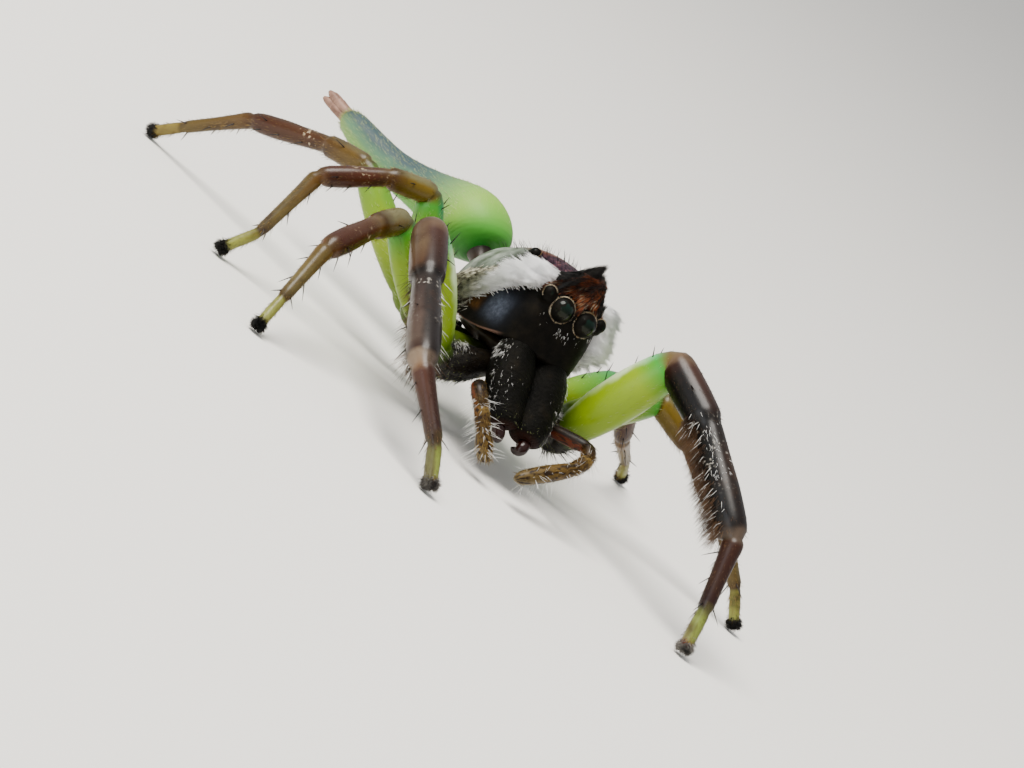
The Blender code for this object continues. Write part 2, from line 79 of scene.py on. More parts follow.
def add_node(mat, kind, values=None, out=0, stops=None, **settings):
    """Adds a node and returns one of its outputs. values gives its inputs by name or number: a socket
    is linked, a hex string is a colour, and anything else is set. stops are (place, hex) pairs."""
    node = mat.node_tree.nodes.new("ShaderNode" + kind)
    for key, value in settings.items():
        setattr(node, key, value)
    for key, value in (values or {}).items():
        if isinstance(value, bpy.types.NodeSocket):
            mat.node_tree.links.new(value, node.inputs[key])
        else:
            node.inputs[key].default_value = linear(value) if isinstance(value, str) else value
    if stops:
        elements = node.color_ramp.elements
        while len(elements) < len(stops):
            elements.new(0.5)
        for element, (place, code) in zip(elements, stops):
            element.position = place
            element.color = linear(code)
    return node.outputs[out]


def lay_over(mat, under, over, *zones):
    """Lays a colour over another inside zones. Each is (value, start, end): none at start, full at end."""
    amount = None
    for value, start, end in zones:
        limits = {"Value": value, "From Min": start, "From Max": end}
        part = add_node(mat, "MapRange", limits, interpolation_type="SMOOTHSTEP")
        amount = part if amount is None else add_node(mat, "Math", {0: amount, 1: part}, operation="MULTIPLY")
    return add_node(mat, "Mix", {0: amount, 6: under, 7: over}, out=2, data_type="RGBA")


def new_material(name, **shader_values):
    """A new material and its shader, with the constants set on the shader's own sockets."""
    mat = bpy.data.materials.new(name)
    mat.use_nodes = True
    shader = mat.node_tree.nodes["Principled BSDF"]
    for key, value in shader_values.items():
        shader.inputs[key.replace("_", " ")].default_value = value
    return mat, shader


def paint(mat, shader, colour, height=None, distance=0.00001, strength=0.6):
    """Links a colour and a bump height to the shader."""
    mat.node_tree.links.new(colour, shader.inputs["Base Color"])
    if height is not None:
        lumps = {"Height": height, "Strength": strength, "Distance": distance}
        mat.node_tree.links.new(add_node(mat, "Bump", lumps), shader.inputs["Normal"])


def place_of(mat, name="place"):
    """The three numbers of the piece's own attribute, as a vector socket and its parts."""
    vector = add_node(mat, "Attribute", out="Vector", attribute_name=name)
    parts = mat.node_tree.nodes.new("ShaderNodeSeparateXYZ")
    mat.node_tree.links.new(vector, parts.inputs[0])
    return vector, parts.outputs


print("helpers ready")

# %% [markdown]
# ## Helpers for pieces
# A finished piece sits at the origin with its place in its mesh. It rides on the one body, and hides the
# solids that it stands for. Limbs, the shell and each hair are all tubes, so one function gives their faces.

# %% Piece helpers
MM = 0.001
UP = Vector((0, 0, 1))
FULL_TURN = 2 * math.pi


def select_only(ob):
    for other in bpy.context.selected_objects:
        other.select_set(False)
    ob.select_set(True)
    bpy.context.view_layer.objects.active = ob


def add_object(name, data):
    ob = bpy.data.objects.new(name, data)
    bpy.context.scene.collection.objects.link(ob)
    return ob


def join_pieces(parts):
    """Joins objects into the first of them."""
    select_only(parts[0])
    for part in parts[1:]:
        part.select_set(True)
    bpy.ops.object.join()
    return parts[0]


def face_outwards(ob):
    """Turns all faces of a closed mesh outwards."""
    select_only(ob)
    bpy.ops.object.mode_set(mode="EDIT")
    bpy.ops.mesh.select_all(action="SELECT")
    bpy.ops.mesh.normals_make_consistent(inside=False)
    bpy.ops.object.mode_set(mode="OBJECT")


def tube_faces(rings, sides):
    """The four-sided faces between the rings of a tube, whose points are numbered ring by ring."""
    faces = []
    for first in range(0, (rings - 1) * sides, sides):
        for side in range(sides):
            a = first + side
            b = first + (side + 1) % sides
            faces.append((a, b, b + sides, a + sides))
    return faces


def tube_grid(places, sides):
    """The place and the turn of each point of a tube with a ring at each place."""
    return np.repeat(places, sides), np.tile(np.arange(sides) * FULL_TURN / sides, len(places))


def unit(rows):
    """Rows of vectors at length 1."""
    return rows / np.linalg.norm(rows, axis=1)[:, None]


def set_place(mesh, values, name="place"):
    """Stores a vector for each vertex, for the materials to read."""
    layer = mesh.attributes.new(name, "FLOAT_VECTOR", "POINT")
    layer.data.foreach_set("vector", np.asarray(values, dtype=np.float32).ravel())


def coordinates(mesh):
    flat = np.empty(len(mesh.vertices) * 3, dtype=np.float32)
    mesh.vertices.foreach_get("co", flat)
    return flat.reshape(-1, 3).astype(float)


def set_coordinates(mesh, points):
    mesh.vertices.foreach_set("co", np.asarray(points, dtype=np.float32).ravel())
    mesh.update()


def finish_piece(ob, mat, replaced=()):
    """Shrinks a piece from millimetres to metres, and gives it its finish, body and solids."""
    ob.data.transform(Matrix.Scale(MM, 4))
    ob.data.materials.clear()
    ob.data.materials.append(mat)
    ob.data.shade_smooth()
    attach(ob, BODY)
    if replaced:
        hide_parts(*replaced)
    print(ob.name, len(ob.data.polygons), "faces")
    return ob


# %% [markdown]
# ## The pose
# The front half is one box of head and chest. Its frame has its origin at the middle of the carapace's
# lower rim, and is pitched nose-up. Each leg is a chain of six segments that ends on the floor.

# %% Body frame and leg pose
BODY_PLACE = Vector((-0.85, -0.39, 4.1))
BODY_PITCH = 7.0
HEAD = Matrix.Translation(BODY_PLACE) @ Euler((math.radians(-BODY_PITCH), 0, 0)).to_matrix().to_4x4()
HEAD_ARRAY = np.array(HEAD)
SIDES = {"R": -1.0, "L": 1.0}

LEG_LENGTHS = {
    "1": (5.3, 2.8, 4.5, 2.8, 1.5),
    "2": (4.5, 2.0, 3.0, 2.6, 1.4),
    "3": (4.6, 1.8, 2.6, 2.9, 1.5),
    "4": (5.4, 1.9, 3.4, 3.0, 1.4),
}
LEG_RADII = {
    "1": (0.83, 0.68, 0.62, 0.36, 0.26),
    "2": (0.65, 0.50, 0.47, 0.30, 0.25),
    "3": (0.60, 0.43, 0.39, 0.27, 0.25),
    "4": (0.60, 0.42, 0.38, 0.27, 0.25),
}
COXA_ROOTS = {
    "1": (0.75, -1.45, -1.35),
    "2": (0.75, -0.6, -1.3),
    "3": (0.75, 0.55, -1.3),
    "4": (0.75, 1.7, -1.3),
}
COXA_ENDS = {
    "1": (2.95, -1.95, -2.45),
    "2": (3.2, -0.55, -1.95),
    "3": (3.2, 0.75, -1.85),
    "4": (2.7, 2.1, -1.7),
}
LEG_POSES = {
    "R1": (1, -82, -116, 46, -23, -22, -52),
    "R2": (8, -42, -56, 39, -13, -25, -51),
    "R3": (25, 3, -1, 60, -13, -33, -56),
    "R4": (45, 62, 65, 32, -14, -23, -44),
    "L1": (-50, -68, -92, 72, -15, -29, -68),
    "L2": (8, -29, -32, 37, -15, -28, -53),
    "L3": (32, 30, 42, 24, -8, -43, -33),
    "L4": (58, 58, 58, 33, -4, -28, -41),
}
SOLE_HEIGHT = 0.22


def bone(side, plan, rise):
    """Unit vectors along a segment and out of its back."""
    a = math.radians(plan)
    e = math.radians(rise)
    flat = Vector((side * math.cos(a), math.sin(a), 0))
    return flat * math.cos(e) + UP * math.sin(e), UP * math.cos(e) - flat * math.sin(e)


def leg_chain(leg):
    """The leg's seven joints from the coxa's root to the claws, and the back's way on its six segments."""
    side = SIDES[leg[0]]
    pair = leg[1]
    root, hip = (HEAD @ Vector((side * x, y, z)) for x, y, z in (COXA_ROOTS[pair], COXA_ENDS[pair]))
    femur, patella, tibia, metatarsus, tarsus = LEG_LENGTHS[pair]
    plan_femur, plan_tibia, plan_foot, rise_femur, rise_patella, rise_tibia, rise_tarsus = LEG_POSES[leg]
    joints = [root, hip]
    backs = [UP]
    for length, plan, rise in (
        (femur, plan_femur, rise_femur),
        (patella, plan_tibia, rise_patella),
        (tibia, plan_tibia, rise_tibia),
    ):
        step, back = bone(side, plan, rise)
        joints.append(joints[-1] + step * length)
        backs.append(back)
    tarsus_step, tarsus_back = bone(side, plan_foot, rise_tarsus)
    drop = joints[-1].z + tarsus_step.z * tarsus - SOLE_HEIGHT
    step, back = bone(side, plan_foot, -math.degrees(math.asin(min(1.0, drop / metatarsus))))
    joints.append(joints[-1] + step * metatarsus)
    joints.append(joints[-1] + tarsus_step * tarsus)
    return joints, backs + [back, tarsus_back]


print("right front foot ends at", [round(c, 2) for c in leg_chain("R1")[0][-1]])

# %% [markdown]
# ## A limb as one skin
# A leg's segments are hard tubes joined by soft membranes, so from outside it is one skin that narrows at
# each joint. It could be remeshed from the solids, but a remesh would lose the way along and round the
# limb, which its rings, stripes and hairs follow. So a ring of points is carried along the chain of
# joints, and each point keeps where it is: across, out of the back, and how far along.

# %% Limb builder
BEND_SHARE = 0.45


class Limb:
    """A bent tube. joints are in millimetres, backs give the back's direction on each segment, and
    stations are (place, radius). Each joint is bent over a length on both sides, up to BEND_SHARE of
    the segment. outer is the turn's sign that faces away from the body's middle."""

    def __init__(self, joints, backs, stations, bend=0.35, tall=1.0, wide=1.0, outer=1.0):
        self.joints = np.array([tuple(j) for j in joints])
        self.steps = np.diff(self.joints, axis=0)
        self.lengths = np.linalg.norm(self.steps, axis=1)
        self.steps = self.steps / self.lengths[:, None]
        self.backs = np.array([tuple(b) for b in backs])
        self.count = len(self.lengths)
        self.bend = bend
        self.tall = tall
        self.wide = wide
        self.outer = outer
        places, radii = zip(*stations)
        self.places = np.array(places)
        self.radii = np.array(radii)
        gaps = np.diff(self.places)
        rises = np.diff(self.radii) / gaps
        same = rises[:-1] * rises[1:] > 0
        inner = 2 * rises[:-1] * rises[1:] / np.where(same, rises[:-1] + rises[1:], 1.0)
        self.slopes = np.concatenate([rises[:1], np.where(same, inner, 0.0), rises[-1:]])

    def radius(self, u):
        """Radius at places u, a smooth curve with no crease at a station and no overshoot between two."""
        i = np.clip(np.searchsorted(self.places, u, side="right") - 1, 0, len(self.places) - 2)
        gap = self.places[i + 1] - self.places[i]
        f = np.clip((u - self.places[i]) / gap, 0, 1)
        bow = f * (1 - f) * gap * ((1 - f) * self.slopes[i] - f * self.slopes[i + 1])
        rise = self.radii[i + 1] - self.radii[i]
        return self.radii[i] + rise * f * f * (3 - 2 * f) + bow

    def frames(self, u):
        """Middle points, directions along, directions out of the back and across, at places u."""
        u = np.clip(u, 0, self.count - 1e-6)
        k = u.astype(int)
        f = u - k
        middle = self.joints[k] + self.steps[k] * (f * self.lengths[k])[:, None]
        forward = self.steps[k].copy()
        back = self.backs[k].copy()
        for joint in range(1, self.count):
            reach = min(self.bend, *BEND_SHARE * self.lengths[joint - 1 : joint + 1])
            before = (joint - u) * self.lengths[joint - 1]
            after = (u - joint) * self.lengths[joint]
            near = ((u < joint) & (before < reach)) | ((u >= joint) & (after < reach))
            w = np.where(u < joint, 0.5 * (1 - before / reach), 0.5 + 0.5 * after / reach)[near][:, None]
            start = self.joints[joint] - self.steps[joint - 1] * reach
            end = self.joints[joint] + self.steps[joint] * reach
            middle[near] = (1 - w) ** 2 * start + 2 * w * (1 - w) * self.joints[joint] + w**2 * end
            forward[near] = (1 - w) * self.steps[joint - 1] + w * self.steps[joint]
            back[near] = (1 - w) * self.backs[joint - 1] + w * self.backs[joint]
        forward = unit(forward)
        back = unit(back - forward * np.sum(back * forward, axis=1)[:, None])
        return middle, forward, back, np.cross(forward, back)

    def surface(self, u, turn):
        """Points on the skin at places u and turns (0 across, a quarter turn on the back), the way out
        of it and the way along it."""
        middle, forward, back, across = self.frames(u)
        r = self.radius(u)[:, None]
        c = np.cos(turn)[:, None]
        s = np.sin(turn)[:, None]
        out = across * c + back * s
        return middle + r * (across * c * self.wide + back * s * self.tall), out, forward

    def marks(self, u, turn):
        """For the materials: how far out sideways, how far on the back, and the share of the length."""
        return np.stack([np.cos(turn) * self.outer, np.sin(turn), u / self.count], axis=1)

    def skin(self, name, rings, sides=28):
        """The tube's mesh with closed ends. Rings crowd where the stations do."""
        spread = np.interp(np.linspace(0, 1, rings), np.linspace(0, 1, len(self.places)), self.places)
        even = np.linspace(self.places[0], self.places[-1], rings)
        places = np.unique(np.sort(0.5 * spread + 0.5 * even))
        u, turn = tube_grid(places, sides)
        points, _, _ = self.surface(u, turn)
        ends, _, _, _ = self.frames(np.array([places[0], places[-1]]))
        faces = tube_faces(len(places), sides)
        last = len(points) - sides
        for side in range(sides):
            faces.append(((side + 1) % sides, side, len(points)))
            faces.append((last + side, last + (side + 1) % sides, len(points) + 1))
        mesh = bpy.data.meshes.new(name)
        mesh.from_pydata(np.vstack([points, ends]).tolist(), [], faces)
        tips = [[0, 0, places[0] / self.count], [0, 0, places[-1] / self.count]]
        set_place(mesh, np.vstack([self.marks(u, turn), tips]))
        ob = add_object(name, mesh)
        face_outwards(ob)
        return ob


def smooth_line(stations, t):
    """Rows of stations joined by a smooth curve, at shares t of their number."""
    rows = np.array([tuple(row) for row in stations], dtype=float)
    place = np.clip(t, 0, 1) * (len(rows) - 1)
    i = np.clip(place.astype(int), 0, len(rows) - 2)
    f = (place - i)[:, None]
    p = rows[np.maximum(i - 1, 0)]
    a = rows[i]
    b = rows[i + 1]
    q = rows[np.minimum(i + 2, len(rows) - 1)]
    return 0.5 * (2 * a + (b - p) * f + (2 * p - 5 * a + 4 * b - q) * f**2 + (3 * a - p - 3 * b + q) * f**3)


# %% [markdown]
# ## Hair, scales and spines
# Every hair here is a solid: a thin, tapered spike whose root is in the skin. Real body hair is about
# 5 microns thick, which would be finer than the picture's own grain, so it is drawn at 10 to 40.
# Thousands are needed, so one function lays out all their corners at once. Each carries its root's place
# for its colour, and a small patch of a UV map at its root's place on an unwrap of the skin.

# %% Hair builder
BAKE_PATCH = 0.003
TAPER = 0.6


def make_hairs(name, roots, ways, lengths, radii, unwrap, marks, sag=0.0, flat=1.0, sides=3, joints=2):
    """One mesh of spikes. sag bends each towards the floor, and flat squeezes it to a blade."""
    n = len(roots)
    ways = unit(ways)
    helper = np.where(np.abs(ways[:, 2:3]) > 0.9, [[1.0, 0, 0]], [[0, 0, 1.0]])
    a = np.cross(ways, helper)
    a /= np.linalg.norm(a, axis=1)[:, None] + 1e-9
    b = np.cross(ways, a)
    lengths = np.broadcast_to(lengths, n)[:, None]
    radii = np.broadcast_to(radii, n)[:, None]
    bend = np.broadcast_to(sag, (n,))[:, None] * np.array([[0, 0, -1.0]])
    rings = []
    for j in range(joints):
        t = j / joints
        centre = roots + ways * lengths * t + bend * lengths * t * t
        size = radii * (1 - t) ** TAPER
        for s in range(sides):
            turn = FULL_TURN * s / sides
            rings.append(centre + a * size * math.cos(turn) + b * size * flat * math.sin(turn))
    rings.append(roots + ways * lengths + bend * lengths)
    per = len(rings)
    verts = np.stack(rings, axis=1).reshape(-1, 3)
    pattern = tube_faces(joints, sides)
    for s in range(sides):
        pattern.append(((joints - 1) * sides + s, (joints - 1) * sides + (s + 1) % sides, per - 1))
    pattern.append(tuple(range(sides - 1, -1, -1)))
    corners = np.array([c for face in pattern for c in face])
    sizes = np.array([len(face) for face in pattern])
    loops = (corners[None, :] + (np.arange(n) * per)[:, None]).ravel()
    totals = np.tile(sizes, n)
    starts = np.concatenate([[0], np.cumsum(totals)[:-1]])
    mesh = bpy.data.meshes.new(name)
    mesh.vertices.add(len(verts))
    mesh.vertices.foreach_set("co", verts.astype(np.float32).ravel())
    mesh.loops.add(len(loops))
    mesh.loops.foreach_set("vertex_index", loops.astype(np.int32))
    mesh.polygons.add(len(totals))
    mesh.polygons.foreach_set("loop_start", starts.astype(np.int32))
    mesh.polygons.foreach_set("loop_total", totals.astype(np.int32))
    mesh.update(calc_edges=True)
    mesh.validate()
    own = np.array([((c % sides) / sides, (c // sides) / joints) for c in corners]) * BAKE_PATCH
    uv = (unwrap[:, None, :] * (1 - BAKE_PATCH) + own[None, :, :]).reshape(-1, 2)
    layer = mesh.uv_layers.new(name="OFBake")
    layer.data.foreach_set("uv", uv.astype(np.float32).ravel())
    set_place(mesh, np.repeat(marks, per, axis=0))
    return add_object(name, mesh)


def scatter(seed, low, high, count):
    """Even random numbers from low to high, the same on each run."""
    return np.random.default_rng(seed).uniform(low, high, count)


def normal_noise(seed, spread, *shape):
    """Random numbers round 0 that are mostly within the spread, the same on each run."""
    return np.random.default_rng(seed).normal(0, spread, shape)


print("limb and hair builders ready")

# %% [markdown]
# ## Carapace skin
# The head and chest are one glossy shell: a high, rounded head with the big eyes in front, and a chest
# that slopes away behind. Its lower rim hangs a little in the middle of each side. A box could be pulled
# into it, but its outline is known from many sides, so a loft through a few squarish ovals follows it
# better. Balls at the side eyes give the bumps that carry them. A voxel remesh joins all of these as one
# skin with even faces, which a Boolean would leave creased, and the eye sockets are pressed into it.

# %% Carapace sections: place along the body, half width, height, depth, squareness and hang of the rim
CARAPACE_STATIONS = (
    (-2.84, 0.62, 1.80, 0.16, 2.6, 0.00),
    (-2.72, 1.14, 2.12, 0.26, 2.7, 0.00),
    (-2.46, 1.50, 2.44, 0.33, 2.8, 0.10),
    (-2.00, 1.80, 2.84, 0.36, 2.8, 0.30),
    (-1.25, 2.10, 3.00, 0.36, 2.7, 0.55),
    (-0.45, 2.30, 3.04, 0.36, 2.6, 0.65),
    (0.45, 2.38, 2.90, 0.36, 2.4, 0.60),
    (1.25, 2.22, 2.58, 0.36, 2.4, 0.42),
    (1.95, 2.02, 2.28, 0.34, 2.4, 0.20),
    (2.55, 1.60, 1.75, 0.30, 2.2, 0.05),
    (2.88, 0.85, 0.95, 0.22, 2.0, 0.00),
)
SECTIONS = smooth_line(CARAPACE_STATIONS, np.linspace(0, 1, 400))
EYES = {
    "front_middle": ((0.56, -2.74, 1.66), 0.45),
    "front_side": ((1.26, -2.53, 1.92), 0.24),
    "small_side": ((1.5, -1.6, 2.36), 0.13),
    "rear_side": ((1.46, -0.6, 2.66), 0.21),
}
BUMPS = {"rear_side": 0.34, "front_side": 0.34, "small_side": 0.22}
SOCKET = 1.06
RIM_PLACE, RIM_WIDTH, RIM_HEIGHT = 1.3, 0.16, 0.07


def carapace_section(y):
    """Half width, height, depth, squareness and hang at places y."""
    return [np.interp(y, SECTIONS[:, 0], SECTIONS[:, k]) for k in range(1, 6)]


def carapace_surface(y, turn):
    """Points of the shell in the head's frame. A quarter turn is the top."""
    half_width, height, depth, power, hang = carapace_section(y)
    c = np.cos(turn)
    s = np.sin(turn)
    x = half_width * np.sign(c) * np.abs(c) ** (2 / power)
    z = np.where(s > 0, height, depth) * np.sign(s) * np.abs(s) ** (2 / power) - hang * c**4
    return np.stack([x, y, z], axis=1)


def carapace_point(y, turn):
    """Points of the shell and the way out of it."""
    points = carapace_surface(y, turn)
    step = 0.03
    out = np.cross(
        carapace_surface(y + step, turn) - carapace_surface(y - step, turn),
        carapace_surface(y, turn + step) - carapace_surface(y, turn - step),
    )
    return points, out / (np.linalg.norm(out, axis=1)[:, None] + 1e-9)


def carapace_loft(rings=60, sides=64):
    places = SECTIONS[np.linspace(0, len(SECTIONS) - 1, rings).astype(int), 0]
    points = carapace_surface(*tube_grid(places, sides))
    faces = tube_faces(rings, sides)
    faces.append(tuple(range(sides)))
    faces.append(tuple((rings - 1) * sides + k for k in reversed(range(sides))))
    mesh = bpy.data.meshes.new("carapace_skin")
    mesh.from_pydata(points.tolist(), [], faces)
    return add_object("carapace_skin", mesh)


def join_as_skin(parts, grain, rounds):
    """Joins closed pieces as one smooth skin of even faces."""
    skin = join_pieces(parts)
    face_outwards(skin)
    skin.data.remesh_voxel_size = grain
    bpy.ops.object.voxel_remesh()
    smoother = skin.modifiers.new("smoother", "SMOOTH")
    smoother.factor = 0.5
    smoother.iterations = rounds
    bpy.ops.object.modifier_apply(modifier=smoother.name)
    return skin


# %% Carapace skin with its bumps and sockets
parts = [carapace_loft()]
for side in SIDES.values():
    for eye, size in BUMPS.items():
        (x, y, z), _ = EYES[eye]
        # inside and behind the lens, which rides on the bump's top
        place = (side * (x - 0.12), y + 0.08, z - 0.14)
        bpy.ops.mesh.primitive_uv_sphere_add(segments=32, ring_count=20, radius=size, location=place)
        parts.append(bpy.context.object)
carapace = join_as_skin(parts, grain=0.055, rounds=8)

points = coordinates(carapace.data)
for side in SIDES.values():
    for (x, y, z), radius in EYES.values():
        centre = np.array((side * x, y, z))
        away = points - centre
        d = np.linalg.norm(away, axis=1)
        away /= d[:, None] + 1e-9
        socket = radius * SOCKET
        inside = d < socket
        points[inside] = centre + away[inside] * socket
        rim = np.exp(-(((d - radius * RIM_PLACE) / (RIM_WIDTH * radius)) ** 2)) * (d >= socket)
        points += away * (rim * RIM_HEIGHT * radius)[:, None]
set_coordinates(carapace.data, points)
set_place(carapace.data, points)
over_rim = points[:, 2] + carapace_section(points[:, 1])[4]
set_place(carapace.data, np.stack([over_rim, over_rim, over_rim], axis=1), "over_rim")
carapace.data.transform(HEAD)
print("carapace", len(carapace.data.polygons), "faces")

# %% [markdown]
# The shell is a dark horn with a dull polish. The chest shows greenish grey through it, a pinkish strip
# runs back between the rear eyes with rusty edges, and the lower rim is a thin pale line. The flank is
# almost black, with a painted reflection below the eyes, a mottled blue-grey sheen, and a brown patch
# behind that. It is fine grained, so a bump from noise gives the skin its wrinkles.

# %% Horn of the carapace
horn, horn_shader = new_material("dark_polished_horn", Roughness=0.42, IOR=1.3, Specular_IOR_Level=0.1)
spot, (across, along_body, up) = place_of(horn)
over_rim = place_of(horn, "over_rim")[1][0]
wide = add_node(horn, "Math", {0: across}, operation="ABSOLUTE")
grain = add_node(horn, "TexNoise", {"Vector": spot, "Scale": 2.2, "Detail": 4.0})
fine = add_node(horn, "TexNoise", {"Vector": spot, "Scale": 6.0, "Detail": 6.0, "Roughness": 0.7})
HORN_TONES = {
    "flesh": (grain, ((0.3, "#050504"), (0.55, "#0d0b08"), (0.75, "#16130d"))),
    "chest": (grain, ((0.3, "#454c40"), (0.5, "#6a7368"), (0.7, "#8f958c"))),
    "brown": (fine, ((0.35, "#2a1a0c"), (0.65, "#4a3216"))),
    # painted reflection: the mottled middle of the blue-grey sheen below the eyes
    "sheen": (fine, ((0.3, "#30343f"), (0.5, "#434855"), (0.7, "#585e6c"))),
    "strip": (fine, ((0.35, "#4c4038"), (0.55, "#776860"), (0.7, "#8f8072"))),
    "crown": (fine, ((0.4, "#17121a"), (0.55, "#35222c"), (0.66, "#7d5558"))),
}
# the first tone is the broad part of the painted sheen on the flank
tones = {"broad_sheen": "#191b21", "rust": "#4f2616", "rim": "#6f564a"}
for key, (noise, stops) in HORN_TONES.items():
    tones[key] = add_node(horn, "ValToRGB", {0: noise}, stops=stops)
colour = tones["flesh"]
# the first two layers are a painted reflection, a blue-grey sheen on the flank below the eyes
for tone, *zones in (
    ("broad_sheen", (along_body, -2.5, -1.7), (along_body, -0.5, -1.2), (up, -0.6, 0.2), (up, 1.6, 0.9)),
    ("sheen", (along_body, -2.1, -1.55), (along_body, -0.8, -1.4), (up, -0.4, 0.45), (up, 1.2, 0.55)),
    ("brown", (along_body, -1.0, -0.6), (along_body, 0.7, 0.3), (up, -0.3, 0.0), (up, 1.1, 0.8)),
    ("chest", (along_body, -0.6, 0.6), (over_rim, 1.2, 2.0)),
    ("chest", (along_body, 0.7, 1.9), (over_rim, 0.3, 1.0)),
    ("crown", (along_body, -0.3, -0.8), (up, 2.3, 2.55), (wide, 1.5, 1.2)),
    ("rust", (along_body, -0.9, -0.4), (along_body, 1.1, 0.1), (up, 2.3, 2.65), (wide, 1.5, 1.0)),
    ("strip", (along_body, -0.8, -0.2), (along_body, 1.6, 0.3), (up, 2.2, 2.6), (wide, 1.15, 0.7)),
    ("rim", (over_rim, -0.2, -0.13), (over_rim, 0.03, -0.04), (wide, 1.6, 1.9)),
):
    colour = lay_over(horn, colour, tones[tone], *zones)
paint(horn, horn_shader, colour, fine, 0.00004, 0.5)
finish_piece(carapace, horn, ["carapace"])

# %% [markdown]
# ## Eyes
# A jumping spider's front middle eyes are big round lenses. They are black at the edge, with a painted
# glow inside, dark green above and olive below. The side eyes are smaller. Each is a polished ball in its
# socket, with a little more curve in front than a plain ball, so its front is pulled out along its axis.

# %% Eye lenses
FRONT_BULGE = 0.06
lens, lens_shader = new_material("polished_eye_lens", Roughness=0.12, IOR=1.35, Specular_IOR_Level=0.25)
_, (_, along_eye, up) = place_of(lens)
# the lens colour is a painted glow by height, dark green above and olive below
height = add_node(lens, "MapRange", {"Value": up, "From Min": -0.9, "From Max": 0.9})
glow_stops = ((0.0, "#17160a"), (0.35, "#111408"), (0.6, "#08120c"), (0.85, "#081a15"), (1.0, "#060d0b"))
glow = add_node(lens, "ValToRGB", {0: height}, stops=glow_stops)
paint(lens, lens_shader, lay_over(lens, "#030303", glow, (along_eye, 0.1, -0.85)))


def eye_aim(name, side):
    """The way an eye looks."""
    (x, y, z), _ = EYES[name]
    aim = np.array((side * x * 0.35, y, 0.12 * z) if name.startswith("front") else (side * 0.9, -0.25, 0.5))
    return aim / np.linalg.norm(aim)


def make_eye(name, letter):
    (x, y, z), radius = EYES[name]
    side = SIDES[letter]
    upright = (math.radians(90), 0, 0)
    bpy.ops.mesh.primitive_uv_sphere_add(segments=48, ring_count=28, radius=radius, rotation=upright)
    eye = bpy.context.object
    eye.name = f"lens_{name}_{letter}"
    bpy.ops.object.transform_apply(location=False, rotation=True, scale=True)
    points = coordinates(eye.data)
    aim = eye_aim(name, side)
    points += aim * (np.clip(points @ aim / radius, 0, 1) ** 6 * FRONT_BULGE * radius)[:, None]
    set_coordinates(eye.data, points)
    set_place(eye.data, points / radius * (side, 1, 1))
    eye.data.transform(HEAD @ Matrix.Translation((side * x, y, z)))
    finish_piece(eye, lens, [f"eye_{name}_{letter}"])


for letter in SIDES:
    for name in EYES:
        make_eye(name, letter)

# %% [markdown]
# ## Leg skins
# Each leg runs from the breastplate to the claws: coxa, thigh, knee piece, shin and the two foot
# segments. The thigh is thick and taller than wide, and the joints are narrow. The limb builder makes
# each as one skin, so no seam shows where the solids leave a gap.

# %% Leg skins
def leg_stations(pair):
    """(place, radius) along the leg, where each whole number is a joint."""
    femur, patella, tibia, metatarsus, tarsus = LEG_RADII[pair]
    coxa = 0.74 * femur
    slim = 1.0 if pair == "1" else 0.82
    shares = (
        (coxa, ((0.0, 0.7), (0.25, 0.86), (0.6, 1.0), (0.85, 0.93), (0.96, 0.8))),
        (femur, ((1.0, 0.62), (1.05, 0.72), (1.1, 0.73), (1.135, 0.64), (1.17, 0.73), (1.3, 0.88))),
        (femur, ((1.45, 0.98), (1.6, 1.0), (1.75, 0.95), (1.88, 0.85), (1.955, 0.74), (1.985, 0.66))),
        (patella, ((2.01, 0.80), (2.05, 0.93), (2.16, 0.98), (2.5, 1.0), (2.84, 0.96), (2.95, 0.9))),
        (tibia, ((2.985, 0.84), (3.01, 0.82), (3.08, 0.84), (3.3, 0.9), (3.6, 1.0))),
        (tibia, ((3.82, 0.97), (3.955, 0.8))),
        (metatarsus, ((3.99, 0.92), (4.04, 1.12), (4.25, 1.0), (4.6, 0.87), (4.95, 0.82))),
        (tarsus * slim, ((4.985, 0.86), (5.05, 0.95), (5.4, 1.0), (5.75, 0.96), (5.9, 0.84), (5.98, 0.5))),
    )
    return [(u, size * share) for size, group in shares for u, share in group]


LEGS = {}
for leg in LEG_POSES:
    joints, backs = leg_chain(leg)
    outer = -SIDES[leg[0]]
    LEGS[leg] = Limb(joints, backs, leg_stations(leg[1]), bend=0.28, tall=1.03, wide=0.95, outer=outer)

# %% [markdown]
# The legs are smooth horn over clear flesh. The thighs are a glassy yellow green with an emerald flush at
# the knee, and on the front thighs a pale line on the back is a painted highlight. The front knee pieces
# and shins are greyish brown on their outer side and glossy black within, and the foot runs from red
# brown to a dull yellow green. The other legs are brown with an olive back, and all shins have pale flecks
# near the knee. Three colour ramps along the leg, for its back, outer side and inner side, are laid over
# each other by the way that the skin faces.

# %% Horn of the legs
SEGMENTS = 6


def by_leg(row):
    """Stops of a ramp from a row of places and colours. Each whole place is a joint of the leg."""
    words = row.split()
    return tuple((float(u) / SEGMENTS, "#" + code) for u, code in zip(words[::2], words[1::2]))


